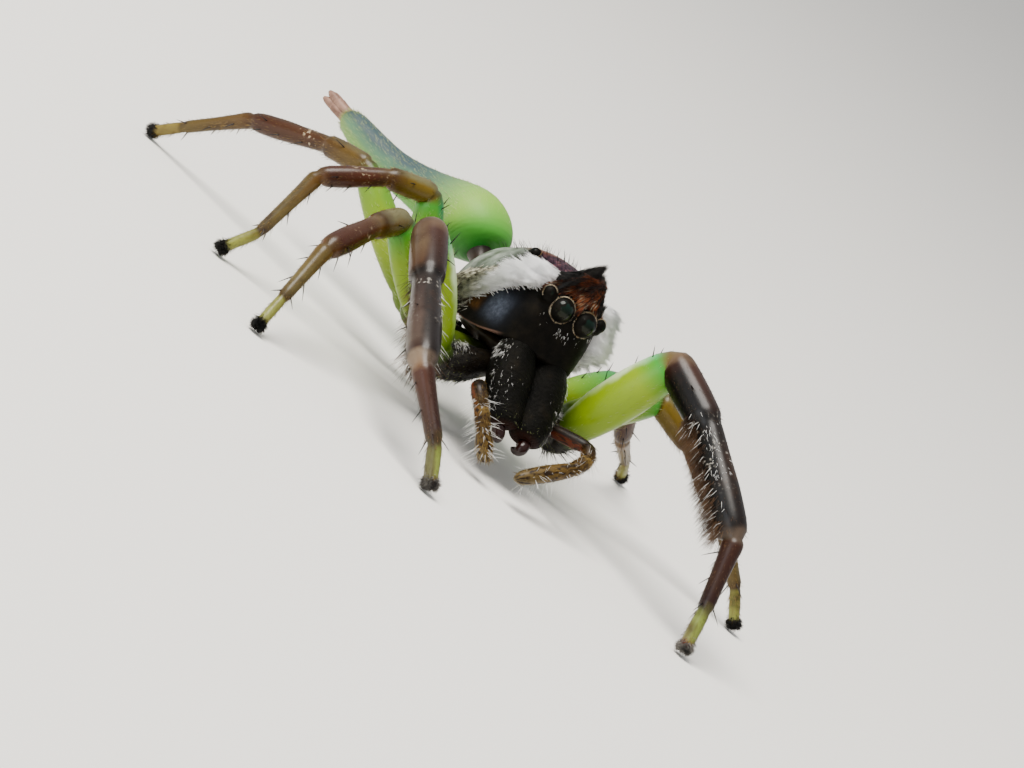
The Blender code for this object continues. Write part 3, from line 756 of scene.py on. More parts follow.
def leg_horn(name, back_row, outer_row, inner_row, fleck):
    """Glossy horn with a ramp along the leg for each of three sides, and a colour for the shin's flecks."""
    mat, shader = new_material(
        name, Roughness=0.35, IOR=1.38, Specular_IOR_Level=0.38, Coat_Weight=0.06, Coat_Roughness=0.2
    )
    _, (outward, back, share) = place_of(mat)
    metres = add_node(mat, "TexCoord", out="Object")
    noise = add_node(mat, "TexNoise", {"Vector": metres, "Scale": 900.0, "Detail": 3.0})
    wander = add_node(mat, "Math", {0: noise, 1: -0.5}, operation="ADD")
    along = add_node(mat, "Math", {0: wander, 1: 0.012, 2: share}, operation="MULTIPLY_ADD")
    turned = add_node(mat, "Math", {0: wander, 1: 0.7, 2: back}, operation="MULTIPLY_ADD")
    outward = add_node(mat, "Math", {0: wander, 1: 0.5, 2: outward}, operation="MULTIPLY_ADD")
    rows = (inner_row, outer_row, back_row)
    inner, outer, upper = (add_node(mat, "ValToRGB", {0: along}, stops=by_leg(row)) for row in rows)
    colour = lay_over(mat, inner, outer, (outward, -0.5, 0.1))
    colour = lay_over(mat, colour, upper, (turned, 0.5, 0.9))
    tiny = add_node(mat, "TexNoise", {"Vector": metres, "Scale": 7000.0, "Detail": 3.0})
    patches = add_node(mat, "TexNoise", {"Vector": metres, "Scale": 1500.0, "Detail": 1.0})
    on_shin = ((share, 2.9 / SEGMENTS, 3.03 / SEGMENTS), (share, 3.7 / SEGMENTS, 3.3 / SEGMENTS))
    below_knee = (share, 2.0 / SEGMENTS, 2.1 / SEGMENTS)
    colour = lay_over(mat, colour, "#2a180b", (noise, 0.5, 0.82), below_knee)
    colour = lay_over(mat, colour, fleck, (tiny, 0.56, 0.66), (patches, 0.5, 0.62), *on_shin)
    paint(mat, shader, colour, tiny, 0.00001, 0.35)
    return mat


FRONT_LEG = leg_horn(
    "front_leg_horn",
    # back row: the pale c4d8a8 at 1.75 is a painted highlight along the thigh's back
    "0 14100a 1.05 14100a 1.15 4f6a1c 1.3 90b050 1.75 c4d8a8 1.93 43a860 1.98 5c4c28 2.05 5c4a38 "
    "2.25 30180f 2.9 1c0e09 2.97 0a0605 3.05 16100d 3.3 140d0a 3.9 100907 3.94 463a30 4.01 463a30 "
    "4.07 2c150c 4.85 220f0a 5 4c4c28 5.2 707c34 5.7 78803c 5.85 5a2c1c 6 221c18",
    "0 14100a 1.05 14100a 1.15 3f5a0c 1.3 6c8c00 1.75 749602 1.93 2a8a34 1.98 5c4c20 2.05 42301f "
    "2.2 4a3a2a 2.5 4e3e2b 2.85 3c2818 2.96 0a0705 3.03 1e1713 3.2 2e2420 3.55 40332c 3.8 40342c "
    "3.89 2a1a14 3.94 70604f 4.02 66503c 4.1 3a1e12 4.85 2c180e 5 3c3a20 5.2 54542c 5.75 545030 "
    "6 2c2820",
    "0 14100a 1.05 14100a 1.15 3f5a0c 1.3 748e00 1.75 7c9602 1.93 2e8a2a 1.98 5c4c20 2.03 5f4c38 "
    "2.12 241009 2.3 080605 2.95 050404 3.1 080706 3.91 050404 3.95 3a3028 4.01 443a2e 4.06 26110a "
    "4.5 220e09 4.93 180a07 5 50562a 5.2 6c7638 5.7 6c6c3a 5.85 642818 6 221c18",
    "#8c8880",
)
MIDDLE_LEG = leg_horn(
    "middle_leg_horn",
    "0 242408 1.1 445c0a 1.3 6a8a02 1.7 44862a 1.92 1e7a3c 1.99 3c3c18 2.06 5a5636 2.6 5c5738 "
    "2.93 33240f 3.02 4c3c24 3.2 3c2414 3.85 34180c 3.98 40301a 4.1 4c3e1c 4.7 5a5130 4.97 3a2e18 "
    "5.05 707034 5.7 7c8040 5.85 34301c 6 1a150c",
    "0 242408 1.1 445c0a 1.3 728c00 1.7 688c06 1.92 2c8026 1.99 4a3e08 2.06 5c4c0a 2.6 54420a "
    "2.95 3c2408 3.03 4f340c 3.2 421f0a 3.85 341607 3.98 4c3010 4.1 543e14 4.7 5a4e24 4.97 3e2c10 "
    "5.05 727230 5.7 7e843a 5.85 34301c 6 1a150c",
    "0 242408 1.1 445c0a 1.3 728c00 1.7 708c04 1.92 368422 1.99 4a3e08 2.06 604e0a 2.6 58440a "
    "2.95 3c2408 3.03 50320a 3.2 401c08 3.85 301406 3.98 4c3010 4.1 563e14 4.7 5c4e24 4.97 3e2c10 "
    "5.05 747230 5.7 80843a 5.85 34301c 6 1a150c",
    "#9a8a70",
)
REAR_LEG = leg_horn(
    "rear_leg_horn",
    "0 242408 1.1 526a0e 1.5 709010 1.9 468022 1.99 343414 2.06 504828 2.9 443a22 3.1 3a2818 "
    "3.9 321e12 4.1 44341e 5 463c22 5.1 665c34 5.75 665c34 5.9 241c12",
    "0 242408 1.1 526a0e 1.5 7a9206 1.9 5c8814 1.99 403410 2.06 504012 2.9 463212 3.1 3c2410 "
    "3.9 341b0d 4.1 4a3616 5 4c401c 5.1 6e642c 5.75 6e642c 5.9 241c12",
    "0 242408 1.1 526a0e 1.5 7c9406 1.9 608a14 1.99 403410 2.06 524012 2.9 483212 3.1 3e2410 "
    "3.9 351a0c 4.1 4c3616 5 4e401a 5.1 70622a 5.75 70622a 5.9 241c12",
    "#9a8a70",
)
LEG_HORNS = {"1": FRONT_LEG, "2": MIDDLE_LEG, "3": MIDDLE_LEG, "4": REAR_LEG}
for leg, limb in LEGS.items():
    nodes = [f"leg_{leg}_{part}" for part in ("coxa", "femur", "tibia", "foot")]
    skin = limb.skin(f"leg_skin_{leg}", rings=150)
    finish_piece(skin, LEG_HORNS[leg[1]], nodes)

# %% [markdown]
# ## Mouthparts
# The chelicerae are two long black clubs that curve down and forward under the face, finely wrinkled
# across, with a red-brown fang folded at each tip. The palps are the short feelers beside them. All are
# limbs too, so the same builder makes them from a few places along each.

# %% Shapes of the chelicerae, fangs and palps
# nearer to the middle and wider across than the solids' round jaws, whose gap a real jaw's hair closes
CHELICERA_LINE = ((0.78, -2.05, 0.0), (0.78, -3.05, -1.5), (0.57, -4.05, -2.86))
CHELICERA_PIECES = 12
CHELICERA_RADIUS = 0.67 * 1.03
CHELICERA_PROFILE = (
    (0.0, 0.62), (0.1, 0.76), (0.2, 0.93), (0.32, 1.08), (0.45, 1.1), (0.6, 1.04),
    (0.75, 0.98), (0.86, 0.92), (0.93, 0.82), (0.98, 0.6), (1.0, 0.3),
)
FANG_LINE = (
    (0.66, -4.0, -2.86), (0.6, -4.15, -3.06), (0.52, -4.18, -3.2), (0.42, -4.11, -3.28), (0.3, -4.0, -3.27)
)
FANG_PIECES = 10
FANG_PROFILE = ((0.0, 0.24), (0.3, 0.25), (0.55, 0.21), (0.8, 0.13), (1.0, 0.03))
PALPS = {
    "R": ((1.2, -2.4, -2.2), (2.35, -4.1, -2.15), (2.1, -4.6, -2.6), (1.75, -5.05, -3.2), (1.1, -5.4, -4.1)),
    "L": ((1.2, -2.4, -2.2), (2.6, -4.6, -1.75), (2.55, -5.1, -2.1), (2.0, -5.5, -2.6), (-0.1, -6.0, -3.95)),
}
PALP_RADIUS = 0.27
PALP_PROFILE = (
    (0.0, 0.8), (0.3, 0.95), (0.8, 1.0), (0.96, 0.9), (1.04, 0.98), (1.5, 1.02), (1.9, 0.96), (2.0, 0.8),
    (2.1, 0.96), (2.5, 1.02), (2.92, 0.98), (3.0, 0.86), (3.1, 1.02), (3.5, 1.16), (3.8, 1.04),
    (3.94, 0.76), (4.0, 0.3),
)


def on_head(points, side):
    return [HEAD @ Vector((side * x, y, z)) for x, y, z in points]


def upper_sides(joints, up=UP):
    """The direction out of the back on each segment of a chain."""
    backs = []
    for a, b in zip(joints, joints[1:]):
        step = (b - a).normalized()
        backs.append((up - up.project(step)).normalized())
    return backs


def curved_limb(line, profile, radius, pieces, up=UP, **more):
    """A limb along a smooth curve, with its profile's places from 0 to 1."""
    joints = [Vector(p) for p in smooth_line(line, np.linspace(0, 1, pieces + 1))]
    stations = [(place * pieces, radius * share) for place, share in profile]
    return Limb(joints, upper_sides(joints, up), stations, **more)


# %% [markdown]
# The jaws' horn is near black with folds across it, which a noise stretched along the jaw gives. The
# palps are golden brown with dark streaks, blacker above and orange below.

# %% Horn of the mouthparts
jaw, jaw_shader = new_material("wrinkled_jaw_horn", Roughness=0.4, IOR=1.3, Specular_IOR_Level=0.12)
spot, (_, _, share) = place_of(jaw)
metres = add_node(jaw, "TexCoord", out="Object")
noise = add_node(jaw, "TexNoise", {"Vector": metres, "Scale": 1400.0, "Detail": 5.0})
tone = add_node(jaw, "ValToRGB", {0: noise}, stops=((0.35, "#040403"), (0.6, "#0a0906"), (0.75, "#17130c")))
tone = lay_over(jaw, tone, "#200d07", (share, 0.93, 1.0))
stretch = add_node(jaw, "Mapping", {"Vector": spot, "Scale": (2.5, 2.5, 20.0)})
folds = add_node(jaw, "TexNoise", {"Vector": stretch, "Scale": 2.0, "Detail": 5.0, "Roughness": 0.6})
paint(jaw, jaw_shader, tone, folds, 0.00011, 0.8)

fang_horn, fang_shader = new_material("red_fang_horn", Roughness=0.25, IOR=1.4)
_, (_, _, share) = place_of(fang_horn)
stops = ((0.0, "#240c07"), (0.5, "#1d0805"), (1.0, "#0a0303"))
paint(fang_horn, fang_shader, add_node(fang_horn, "ValToRGB", {0: share}, stops=stops))

palp_horn, palp_shader = new_material("palp_horn", Roughness=0.4, IOR=1.38, Specular_IOR_Level=0.3)
spot, (_, back, share) = place_of(palp_horn)
metres = add_node(palp_horn, "TexCoord", out="Object")
noise = add_node(palp_horn, "TexNoise", {"Vector": metres, "Scale": 1500.0, "Detail": 4.0})
stretch = add_node(palp_horn, "Mapping", {"Vector": spot, "Scale": (1.0, 1.0, 14.0)})
streaks = add_node(palp_horn, "TexNoise", {"Vector": stretch, "Scale": 2.4, "Detail": 3.0})
upper_stops = (
    (0.0, "#080604"), (0.27, "#0e0905"), (0.36, "#2c1d0a"), (0.5, "#3c2a0e"),
    (0.54, "#6c5628"), (0.62, "#3c2a0e"), (0.85, "#4f3c18"), (1.0, "#544628"),
)
lower_stops = (
    (0.0, "#240f05"), (0.22, "#56220a"), (0.45, "#5c300e"), (0.54, "#70481c"),
    (0.62, "#463010"), (0.85, "#523e18"), (1.0, "#6c6044"),
)
upper = add_node(palp_horn, "ValToRGB", {0: share}, stops=upper_stops)
tone = add_node(palp_horn, "ValToRGB", {0: share}, stops=lower_stops)
tone = lay_over(palp_horn, tone, upper, (back, -0.3, 0.3))
tone = lay_over(palp_horn, tone, "#1c1006", (streaks, 0.48, 0.6))
paint(palp_horn, palp_shader, tone, noise, 0.00002, 0.5)

# %% Chelicerae, fangs and palps
JAW_FRONT = Vector((0, -1, 0.4))
JAWS = {}
FEELERS = {}
for letter, side in SIDES.items():
    line = on_head(CHELICERA_LINE, side)
    JAWS[letter] = curved_limb(
        line, CHELICERA_PROFILE, CHELICERA_RADIUS, CHELICERA_PIECES, JAW_FRONT, wide=1.16, outer=-side
    )
    skin = JAWS[letter].skin(f"chelicera_skin_{letter}", rings=90, sides=40)
    finish_piece(skin, jaw, [f"chelicera_{letter}"])
    claw = curved_limb(on_head(FANG_LINE, side), FANG_PROFILE, 1.0, FANG_PIECES)
    skin = claw.skin(f"fang_horn_{letter}", rings=60, sides=20)
    finish_piece(skin, fang_horn, [f"fang_{letter}"])
    joints = on_head(PALPS[letter], side)
    stations = [(u, PALP_RADIUS * share) for u, share in PALP_PROFILE]
    FEELERS[letter] = Limb(joints, upper_sides(joints), stations, bend=0.25, outer=-side)
    skin = FEELERS[letter].skin(f"palp_skin_{letter}", rings=110, sides=24)
    finish_piece(skin, palp_horn, [f"palp_{letter}_arm", f"palp_{letter}_hand"])

# %% [markdown]
# ## Abdomen, waist and underside
# The abdomen has a full front like a ball and a slim tail that ends in four spinnerets. It is carried up
# and swung to the spider's right. It is soft, so one smooth curve is its middle line, and a profile of
# radii along it gives the shape, which a stretched ball wouldn't.

# %% Abdomen skin
ABDOMEN_LINE = ((-1.05, 4.15, 4.8), (-1.45, 5.5, 5.28), (-3.44, 8.8, 4.8), (-4.93, 11.35, 4.98))
ABDOMEN_PIECES = 24
ABDOMEN_RADIUS = 1.45
ROUND_FRONT = 0.32
ABDOMEN_TAIL = (
    (0.36, 0.97), (0.42, 0.86), (0.49, 0.70), (0.58, 0.56), (0.667, 0.49), (0.8, 0.44),
    (0.9, 0.38), (0.96, 0.28), (1.0, 0.12),
)
dome = [math.pi / 2 * k / 16 for k in range(1, 17)]
ABDOMEN_PROFILE = [(ROUND_FRONT * (1 - math.cos(a)), math.sin(a)) for a in dome] + list(ABDOMEN_TAIL)
ABDOMEN = curved_limb(ABDOMEN_LINE, ABDOMEN_PROFILE, ABDOMEN_RADIUS, ABDOMEN_PIECES, tall=0.96, bend=0.4)

soft, soft_shader = new_material(
    "soft_abdomen_skin", Roughness=0.5, IOR=1.4, Specular_IOR_Level=0.35,
    Subsurface_Weight=0.12, Subsurface_Scale=0.0005, Subsurface_Radius=(0.7, 1.0, 0.4),
)
_, (outward, back, share) = place_of(soft)
metres = add_node(soft, "TexCoord", out="Object")
noise = add_node(soft, "TexNoise", {"Vector": metres, "Scale": 700.0, "Detail": 4.0})
flank_stops = ((0.0, "#1f7a24"), (0.14, "#4a9530"), (0.32, "#7fa83a"), (0.6, "#84a850"), (1.0, "#8aa05c"))
# the underside's deeper green, darkest at the front end, is painted shade
shaded_underside_stops = ((0.0, "#1c6418"), (0.3, "#347f1c"), (0.6, "#5c9c38"), (1.0, "#78965a"))
colour = add_node(soft, "ValToRGB", {0: share}, stops=flank_stops)
low = add_node(soft, "ValToRGB", {0: share}, stops=shaded_underside_stops)
# lays the painted shade over the underside
colour = lay_over(soft, colour, low, (back, 0.25, -0.75))
wide = add_node(soft, "Math", {0: outward}, operation="ABSOLUTE")
edge = add_node(soft, "Math", {0: noise, 1: 0.35, 2: wide}, operation="MULTIPLY_ADD")
colour = lay_over(soft, colour, "#547a5c", (back, -0.55, 0.05), (share, 0.25, 0.6))
colour = lay_over(soft, colour, "#33464a", (edge, 1.25, 0.95), (back, -0.1, 0.35), (share, 0.35, 0.6))
paint(soft, soft_shader, colour, noise, 0.00006, 0.5)
finish_piece(ABDOMEN.skin("abdomen_skin", rings=130, sides=48), soft, ["abdomen"])

# %% Spinnerets and waist
def wrinkled_skin(name, low, high, scale, detail, **shader_values):
    """A skin of two tones, lighter on its wrinkles."""
    mat, shader = new_material(name, **shader_values)
    metres = add_node(mat, "TexCoord", out="Object")
    noise = add_node(mat, "TexNoise", {"Vector": metres, "Scale": scale, "Detail": detail})
    tone = add_node(mat, "ValToRGB", {0: noise}, stops=((0.3, low), (0.7, high)))
    paint(mat, shader, tone, noise, 0.00003, 0.5)
    return mat


pink = wrinkled_skin("spinneret_skin", "#5f4236", "#9a7866", 2500.0, 3.0, Roughness=0.55, IOR=1.4)
dark = wrinkled_skin(
    "underside_horn", "#140e08", "#33261a", 1800.0, 4.0, Roughness=0.4, IOR=1.42, Specular_IOR_Level=0.4
)

SPINNERETS = ((0.0, 0.2), (0.9, 0.2), (1.0, 0.17), (1.08, 0.18), (1.7, 0.13), (1.98, 0.06))
tip = Vector(ABDOMEN.joints[-1])
axis = Vector(ABDOMEN.steps[-1])
across_tail = axis.cross(UP).normalized()
up_tail = across_tail.cross(axis)
tubes = []
for k in range(4):
    a = math.pi / 4 + k * math.pi / 2
    lean = (across_tail * math.cos(a) + up_tail * math.sin(a)) * 0.15
    start = tip - axis * 0.15
    line = [start + lean * 0.8, start + lean + axis * 0.75, start + lean * 1.5 + axis * 1.25]
    tube = Limb(line, upper_sides(line), SPINNERETS, bend=0.15)
    tubes.append(tube.skin(f"spinneret_{k}", rings=40, sides=16))
spinnerets = join_pieces(tubes)
spinnerets.name = "spinneret_skin"
finish_piece(spinnerets, pink, ["spinnerets"])

WAIST = ((0.0, 0.62), (0.5, 0.43), (1.2, 0.34), (2.0, 0.36), (2.6, 0.46), (2.99, 0.62))
rear = HEAD @ Vector((0, 2.7, 0.12))
front = Vector(ABDOMEN.joints[0]) + Vector(ABDOMEN.steps[0]) * 0.3
line = [rear, rear.lerp(front, 0.35), rear.lerp(front, 0.7), front]
waist = Limb(line, upper_sides(line), WAIST, bend=0.2)
finish_piece(waist.skin("pedicel_skin", rings=50, sides=20), dark, ["pedicel"])

# %% [markdown]
# The breastplate is a long oval shield between the coxae, with two lobes under the mouth. Soft sides fill
# the room between it and the carapace, and the coxae come out of them. Balls squeezed to these shapes are
# joined by a remesh, so that no gap shows between the plates.

# %% Breastplate and soft sides
def oval(centre, half_sizes):
    bpy.ops.mesh.primitive_uv_sphere_add(segments=48, ring_count=28, radius=1.0)
    ball = bpy.context.object
    set_coordinates(ball.data, coordinates(ball.data) * half_sizes + centre)
    return ball


parts = [oval((0.0, 0.1, -1.22), (0.74, 2.05, 0.52)), oval((0.0, 0.15, -0.72), (1.6, 2.2, 0.5))]
parts += [oval((side * 0.34, -1.95, -1.5), (0.3, 0.45, 0.42)) for side in SIDES.values()]
plate = join_as_skin(parts, grain=0.05, rounds=6)
plate.name = "breastplate_skin"
plate.data.transform(HEAD)
finish_piece(plate, dark, ["sternum"])

# %% [markdown]
# ## Coat materials
# The topknot is soot black, the brow rusty, and the legs' hairs pale or dark. The whiskers are pure white
# in front, and streaky grey further back, where they lie in their own shade. Hair is horn too: a dull
# gloss. A slow noise mottles each coat, so that no two locks are quite alike.

# %% Hair materials
def hair_material(name, low, high, gloss=0.5, scale=900.0):
    """Hair of a darker and a lighter tone. A larger scale changes its tone from hair to hair."""
    mat, shader = new_material(name, Roughness=gloss, IOR=1.45, Specular_IOR_Level=0.35)
    metres = add_node(mat, "TexCoord", out="Object")
    noise = add_node(mat, "TexNoise", {"Vector": metres, "Scale": scale, "Detail": 2.0})
    paint(mat, shader, add_node(mat, "ValToRGB", {0: noise}, stops=((0.35, low), (0.65, high))))
    return mat


WHITE_HAIR = hair_material("white_hair", "#efeee8", "#ffffff", 0.6)
WHISKER_HAIR, whisker_shader = new_material("whisker_hair", Roughness=0.6, IOR=1.45)
_, (_, along_body, _) = place_of(WHISKER_HAIR)
metres = add_node(WHISKER_HAIR, "TexCoord", out="Object")
noise = add_node(WHISKER_HAIR, "TexNoise", {"Vector": metres, "Scale": 6000.0, "Detail": 2.0})
shaded = add_node(WHISKER_HAIR, "ValToRGB", {0: noise}, stops=((0.38, "#3e3b28"), (0.62, "#b7b49c")))
paint(WHISKER_HAIR, whisker_shader, lay_over(WHISKER_HAIR, shaded, "#ffffff", (along_body, 0.1, -1.3)))
BLACK_HAIR = hair_material("soot_black_hair", "#030302", "#100d08", 0.45)
RUST_HAIR = hair_material("rusty_scales", "#421b0a", "#984f20", 0.42, 2600.0)
BROWN_HAIR = hair_material("dark_brown_scales", "#0d0704", "#34190c", 0.42, 2600.0)
CREAM_HAIR = hair_material("cream_scales", "#8c7450", "#d9cbb0", 0.5, 3000.0)
GOLD_HAIR = hair_material("golden_hair", "#3c2c10", "#8c7038", 0.5)
PALE_HAIR = hair_material("pale_green_hair", "#8c9a54", "#c4cc94", 0.5)
SHIN_HAIR = hair_material("brown_shin_hair", "#2a1c12", "#6a4e34", 0.45)
GREY_HAIR = hair_material("grey_tuft_hair", "#2c2926", "#8a857e", 0.5, 2600.0)
SPINE_BLACK = hair_material("black_spines", "#080606", "#1d1310", 0.3)
print("hair materials ready")

# %% [markdown]
# ## Whiskers
# The whiskers grow from the whole cheek. In front they stand straight out as a full white puff, and
# further back they hang down along the flank and grow shorter. Real hairs cling together at their tips,
# so they are made in tufts: the hairs of a tuft start apart on the skin and end close together.

# %% Whiskers
def to_world(points):
    return points @ HEAD_ARRAY[:3, :3].T + HEAD_ARRAY[:3, 3]


def turn_world(ways):
    return ways @ HEAD_ARRAY[:3, :3].T


def head_hairs(name, mat, points, ways, lengths, radii, unwrap, **more):
    """Hairs given in the head's frame."""
    ob = make_hairs(name, to_world(points), turn_world(ways), lengths, radii, unwrap, points, **more)
    return finish_piece(ob, mat)


def off_eyes(points, room):
    """True where a root isn't on an eye."""
    keep = np.ones(len(points), dtype=bool)
    for (x, y, z), radius in EYES.values():
        for side in (-1, 1):
            keep &= np.linalg.norm(points - (side * x, y, z), axis=1) > radius * room
    return keep


WHISKER_FRONT = -2.1
WHISKER_REAR = 1.4
TUFTS = 420
HAIRS_IN_TUFT = 40


def make_whiskers(letter):
    side = SIDES[letter]
    share = scatter(1, 0, 1, TUFTS) ** 1.15
    y = WHISKER_FRONT + (WHISKER_REAR - WHISKER_FRONT) * share
    # 1 on the spider's left, whose whisker is the fuller one in the photo, and 0 on its right
    full = (side + 1) / 2
    # from 0 where a tuft stands straight out to 1 where it hangs
    hang = np.clip((share - 0.12) / 0.33, 0, 1)
    hang = hang * hang * (3 - 2 * hang)
    # the lower and upper edge of the field of tufts, in degrees above the side
    low = (40 - 21 * full) * np.exp(-1.7 * share) + 2 * np.sin(9 * share)
    high = 64 * np.exp(-1.45 * share)
    rise = low + (high - low) * scatter(2, 0, 1, TUFTS)
    roots, out = carapace_point(y, np.radians(rise))
    puff = np.array((1.0, 0.06, -0.06))
    fall = np.array((0.32 + 0.6 * full, 0.42, -0.85 + 0.35 * full))
    stray = normal_noise(3, 0.16 - 0.06 * full, TUFTS, 3)
    ways = unit(puff + (fall - puff) * hang[:, None] + out * 0.2 + stray)
    uneven = scatter(4, -0.3, 0.1, TUFTS) * (1 - 0.6 * full)
    lengths = 1.2 - (0.38 - 0.2 * full) * hang - 0.15 * share + uneven
    count = TUFTS * HAIRS_IN_TUFT
    own = np.repeat(np.arange(TUFTS), HAIRS_IN_TUFT)
    turn = np.radians(rise[own] + normal_noise(5, 3.2, count))
    points, _ = carapace_point(y[own] + normal_noise(6, 0.09, count), turn)
    reach = lengths[own] * scatter(7, 0.72 + 0.1 * full, 1.05, count)
    way = roots[own] + ways[own] * reach[:, None] + normal_noise(8, 0.045, count, 3) - points
    keep = off_eyes(points, 1.3)
    points, way, own, turn = points[keep], way[keep], own[keep], turn[keep]
    unwrap = np.stack([share[own], turn / math.pi], axis=1)
    flip = np.array((side, 1, 1))
    head_hairs(
        f"whiskers_{letter}", WHISKER_HAIR, (points - way * 0.04) * flip, way * flip,
        np.linalg.norm(way, axis=1), 0.0125 + 0.003 * full, np.clip(unwrap, 0, 1), sag=0.12,
    )


for letter in SIDES:
    make_whiskers(letter)

# %% [markdown]
# ## Topknot, brow and face
# The topknot's bristles rise from the front of the head and lean in to a few points near one peak.
# Narrow rusty scales lie over the brow and up the topknot's front. A ring of small cream scales stands
# round each front eye, and a few white hairs hang below the eyes.

# %% Topknot
count = 4600
x = scatter(11, -1.05, 1.1, count)
back = scatter(12, 0, 1, count) ** 1.2
y = -2.45 + 0.6 * back
from_top = np.clip(x / np.maximum(carapace_section(y)[0], 0.9), -0.9, 0.9)
points, _ = carapace_point(y, math.pi / 2 - from_top)
# each hair leans to the nearest of a few locks
lock = np.round(x * 5 + 0.6 * np.sin(7 * back)) / 5
rise = np.clip(1 - np.abs(lock), 0, 1)
height = 2.72 + 1.3 * rise + 0.1 * np.sin(23 * lock) - 0.15 * back
aim = np.stack([0.75 * lock, -2.72 + 0.25 * back, height], axis=1) - points
reach = np.linalg.norm(aim, axis=1) * scatter(13, 0.6, 1.06, count)
aim += normal_noise(14, 0.05, count, 3)
unwrap = np.stack([0.5 + 0.4 * x, back], axis=1)
head_hairs("topknot", BLACK_HAIR, points - aim * 0.06, aim, reach, 0.02, unwrap, sag=0.02, joints=3)

# %% Brow scales
def brow_scales(name, mat, count, seed, high):
    """Scales that lie over the brow and up the front of the topknot, pointing up and in."""
    x = scatter(seed, -1.5, 1.5, count)
    z = scatter(seed + 1, 1.75, high, count)
    front = -2.86 + np.clip(z - 1.75, 0, 0.6) * 0.45 - np.clip(z - 2.35, 0, 1) * 0.14 + 0.26 * x * x
    points = np.stack([x, front, z], axis=1)
    keep = off_eyes(points, 1.1) & (np.abs(x) < 1.5 - 0.9 * np.clip(z - 2.0, 0, 1))
    ways = unit(np.array((0.0, -2.95, 3.25)) - points)
    ways += (0.0, -0.12, 0.0) + normal_noise(seed + 2, 0.16, count, 3)
    unwrap = np.stack([0.5 + x / 3.2, (z - 1.7) / 1.8], axis=1)
    lengths = scatter(seed + 3, 0.25, 0.5, count)
    head_hairs(name, mat, points[keep], ways[keep], lengths[keep], 0.033, unwrap[keep], flat=0.3)


brow_scales("brow_scales_rusty", RUST_HAIR, 1300, 21, 3.2)
brow_scales("brow_scales_dark", BROWN_HAIR, 1700, 26, 3.2)
brow_scales("brow_scales_cream", CREAM_HAIR, 130, 31, 2.5)

# %% Eye rings
ring_points, ring_ways, ring_unwrap = [], [], []
for side in SIDES.values():
    for name, count in (("front_middle", 420), ("front_side", 170), ("rear_side", 90)):
        (x, y, z), radius = EYES[name]
        aim = eye_aim(name, side)
        first = np.cross(aim, (0, 0, 1.0))
        first /= np.linalg.norm(first)
        second = np.cross(first, aim)
        turn = scatter(31 + len(ring_points), 0, FULL_TURN, count)
        ring = np.cos(turn)[:, None] * first + np.sin(turn)[:, None] * second
        forward = scatter(41 + len(ring_points), -0.05, 0.22, count)[:, None]
        ring_points.append(np.array((side * x, y, z)) + ring * radius * 1.02 + aim * radius * forward)
        ring_ways.append(ring * 0.9 + aim * 0.6 + normal_noise(51, 0.12, count, 3))
        ring_unwrap.append(np.stack([turn / FULL_TURN, 0.3 + forward[:, 0]], axis=1))
ring_points, ring_ways, ring_unwrap = (np.vstack(part) for part in (ring_points, ring_ways, ring_unwrap))
head_hairs("eye_rings", CREAM_HAIR, ring_points, ring_ways, 0.07, 0.011, ring_unwrap, flat=0.5)

# %% Small white hairs of the face and flank, and dark bristles of the back
spots = ((0.62, 1.08, 26), (0.2, 1.0, 16), (0.95, 1.25, 14))
face_points = []
for side in SIDES.values():
    for k, (x, z, count) in enumerate(spots):
        jitter = normal_noise(61 + k, 0.09, count, 3) * (1.3, 0, 1)
        face_points.append(jitter + (side * x, -2.82 + 0.2 * x * x, z))
face_points = np.vstack(face_points)
ways = np.array((0.0, -0.25, -1.0)) + normal_noise(66, 0.2, len(face_points), 3)
unwrap = np.stack([0.5 + face_points[:, 0] / 3, face_points[:, 2] / 4], axis=1)
head_hairs("face_hairs", WHITE_HAIR, face_points, ways, 0.2, 0.008, unwrap)

count = 420
y = scatter(71, -0.4, 1.9, count)
turn = np.radians(scatter(72, -30, 14, count))
points, out = carapace_point(y, turn)
ways = out * 0.5 + np.array((0.0, 0.35, -0.9)) + normal_noise(73, 0.2, count, 3)
points, ways = (np.vstack([rows * (side, 1, 1) for side in SIDES.values()]) for rows in (points, ways))
lengths = scatter(74, 0.16, 0.34, len(points)) * 1.2
unwrap = np.tile(np.stack([(y + 3) / 6, 0.5 + turn], axis=1), (2, 1))
head_hairs("flank_hairs", WHISKER_HAIR, points, ways, lengths, 0.007, unwrap)

count = 190
y = scatter(81, -1.9, 2.3, count)
turn = np.radians(scatter(82, 55, 125, count))
points, out = carapace_point(y, turn)
keep = off_eyes(points, 1.3)
ways = out + np.array((0.0, 0.55, 0.0)) + normal_noise(83, 0.25, count, 3)
lengths = scatter(84, 0.22, 0.5, count)
unwrap = np.stack([(y + 3) / 6, turn / math.pi], axis=1)
head_hairs("back_bristles", BLACK_HAIR, points[keep], ways[keep], lengths[keep], 0.009, unwrap[keep])

# %% [markdown]
# ## Coat of the legs
# Fine hairs stand all over the legs, longer under the thighs. Black spines stand out of the shins and
# feet in pairs. A fringe hangs under the front shins, and a dense ball of hair under the claws lets the
# spider grip glass. All are laid out along the same limbs that made the skins.

# %% Leg hairs, spines and claw tufts
ROOT_DEPTH = 0.03
FLOOR_GAP = 0.01


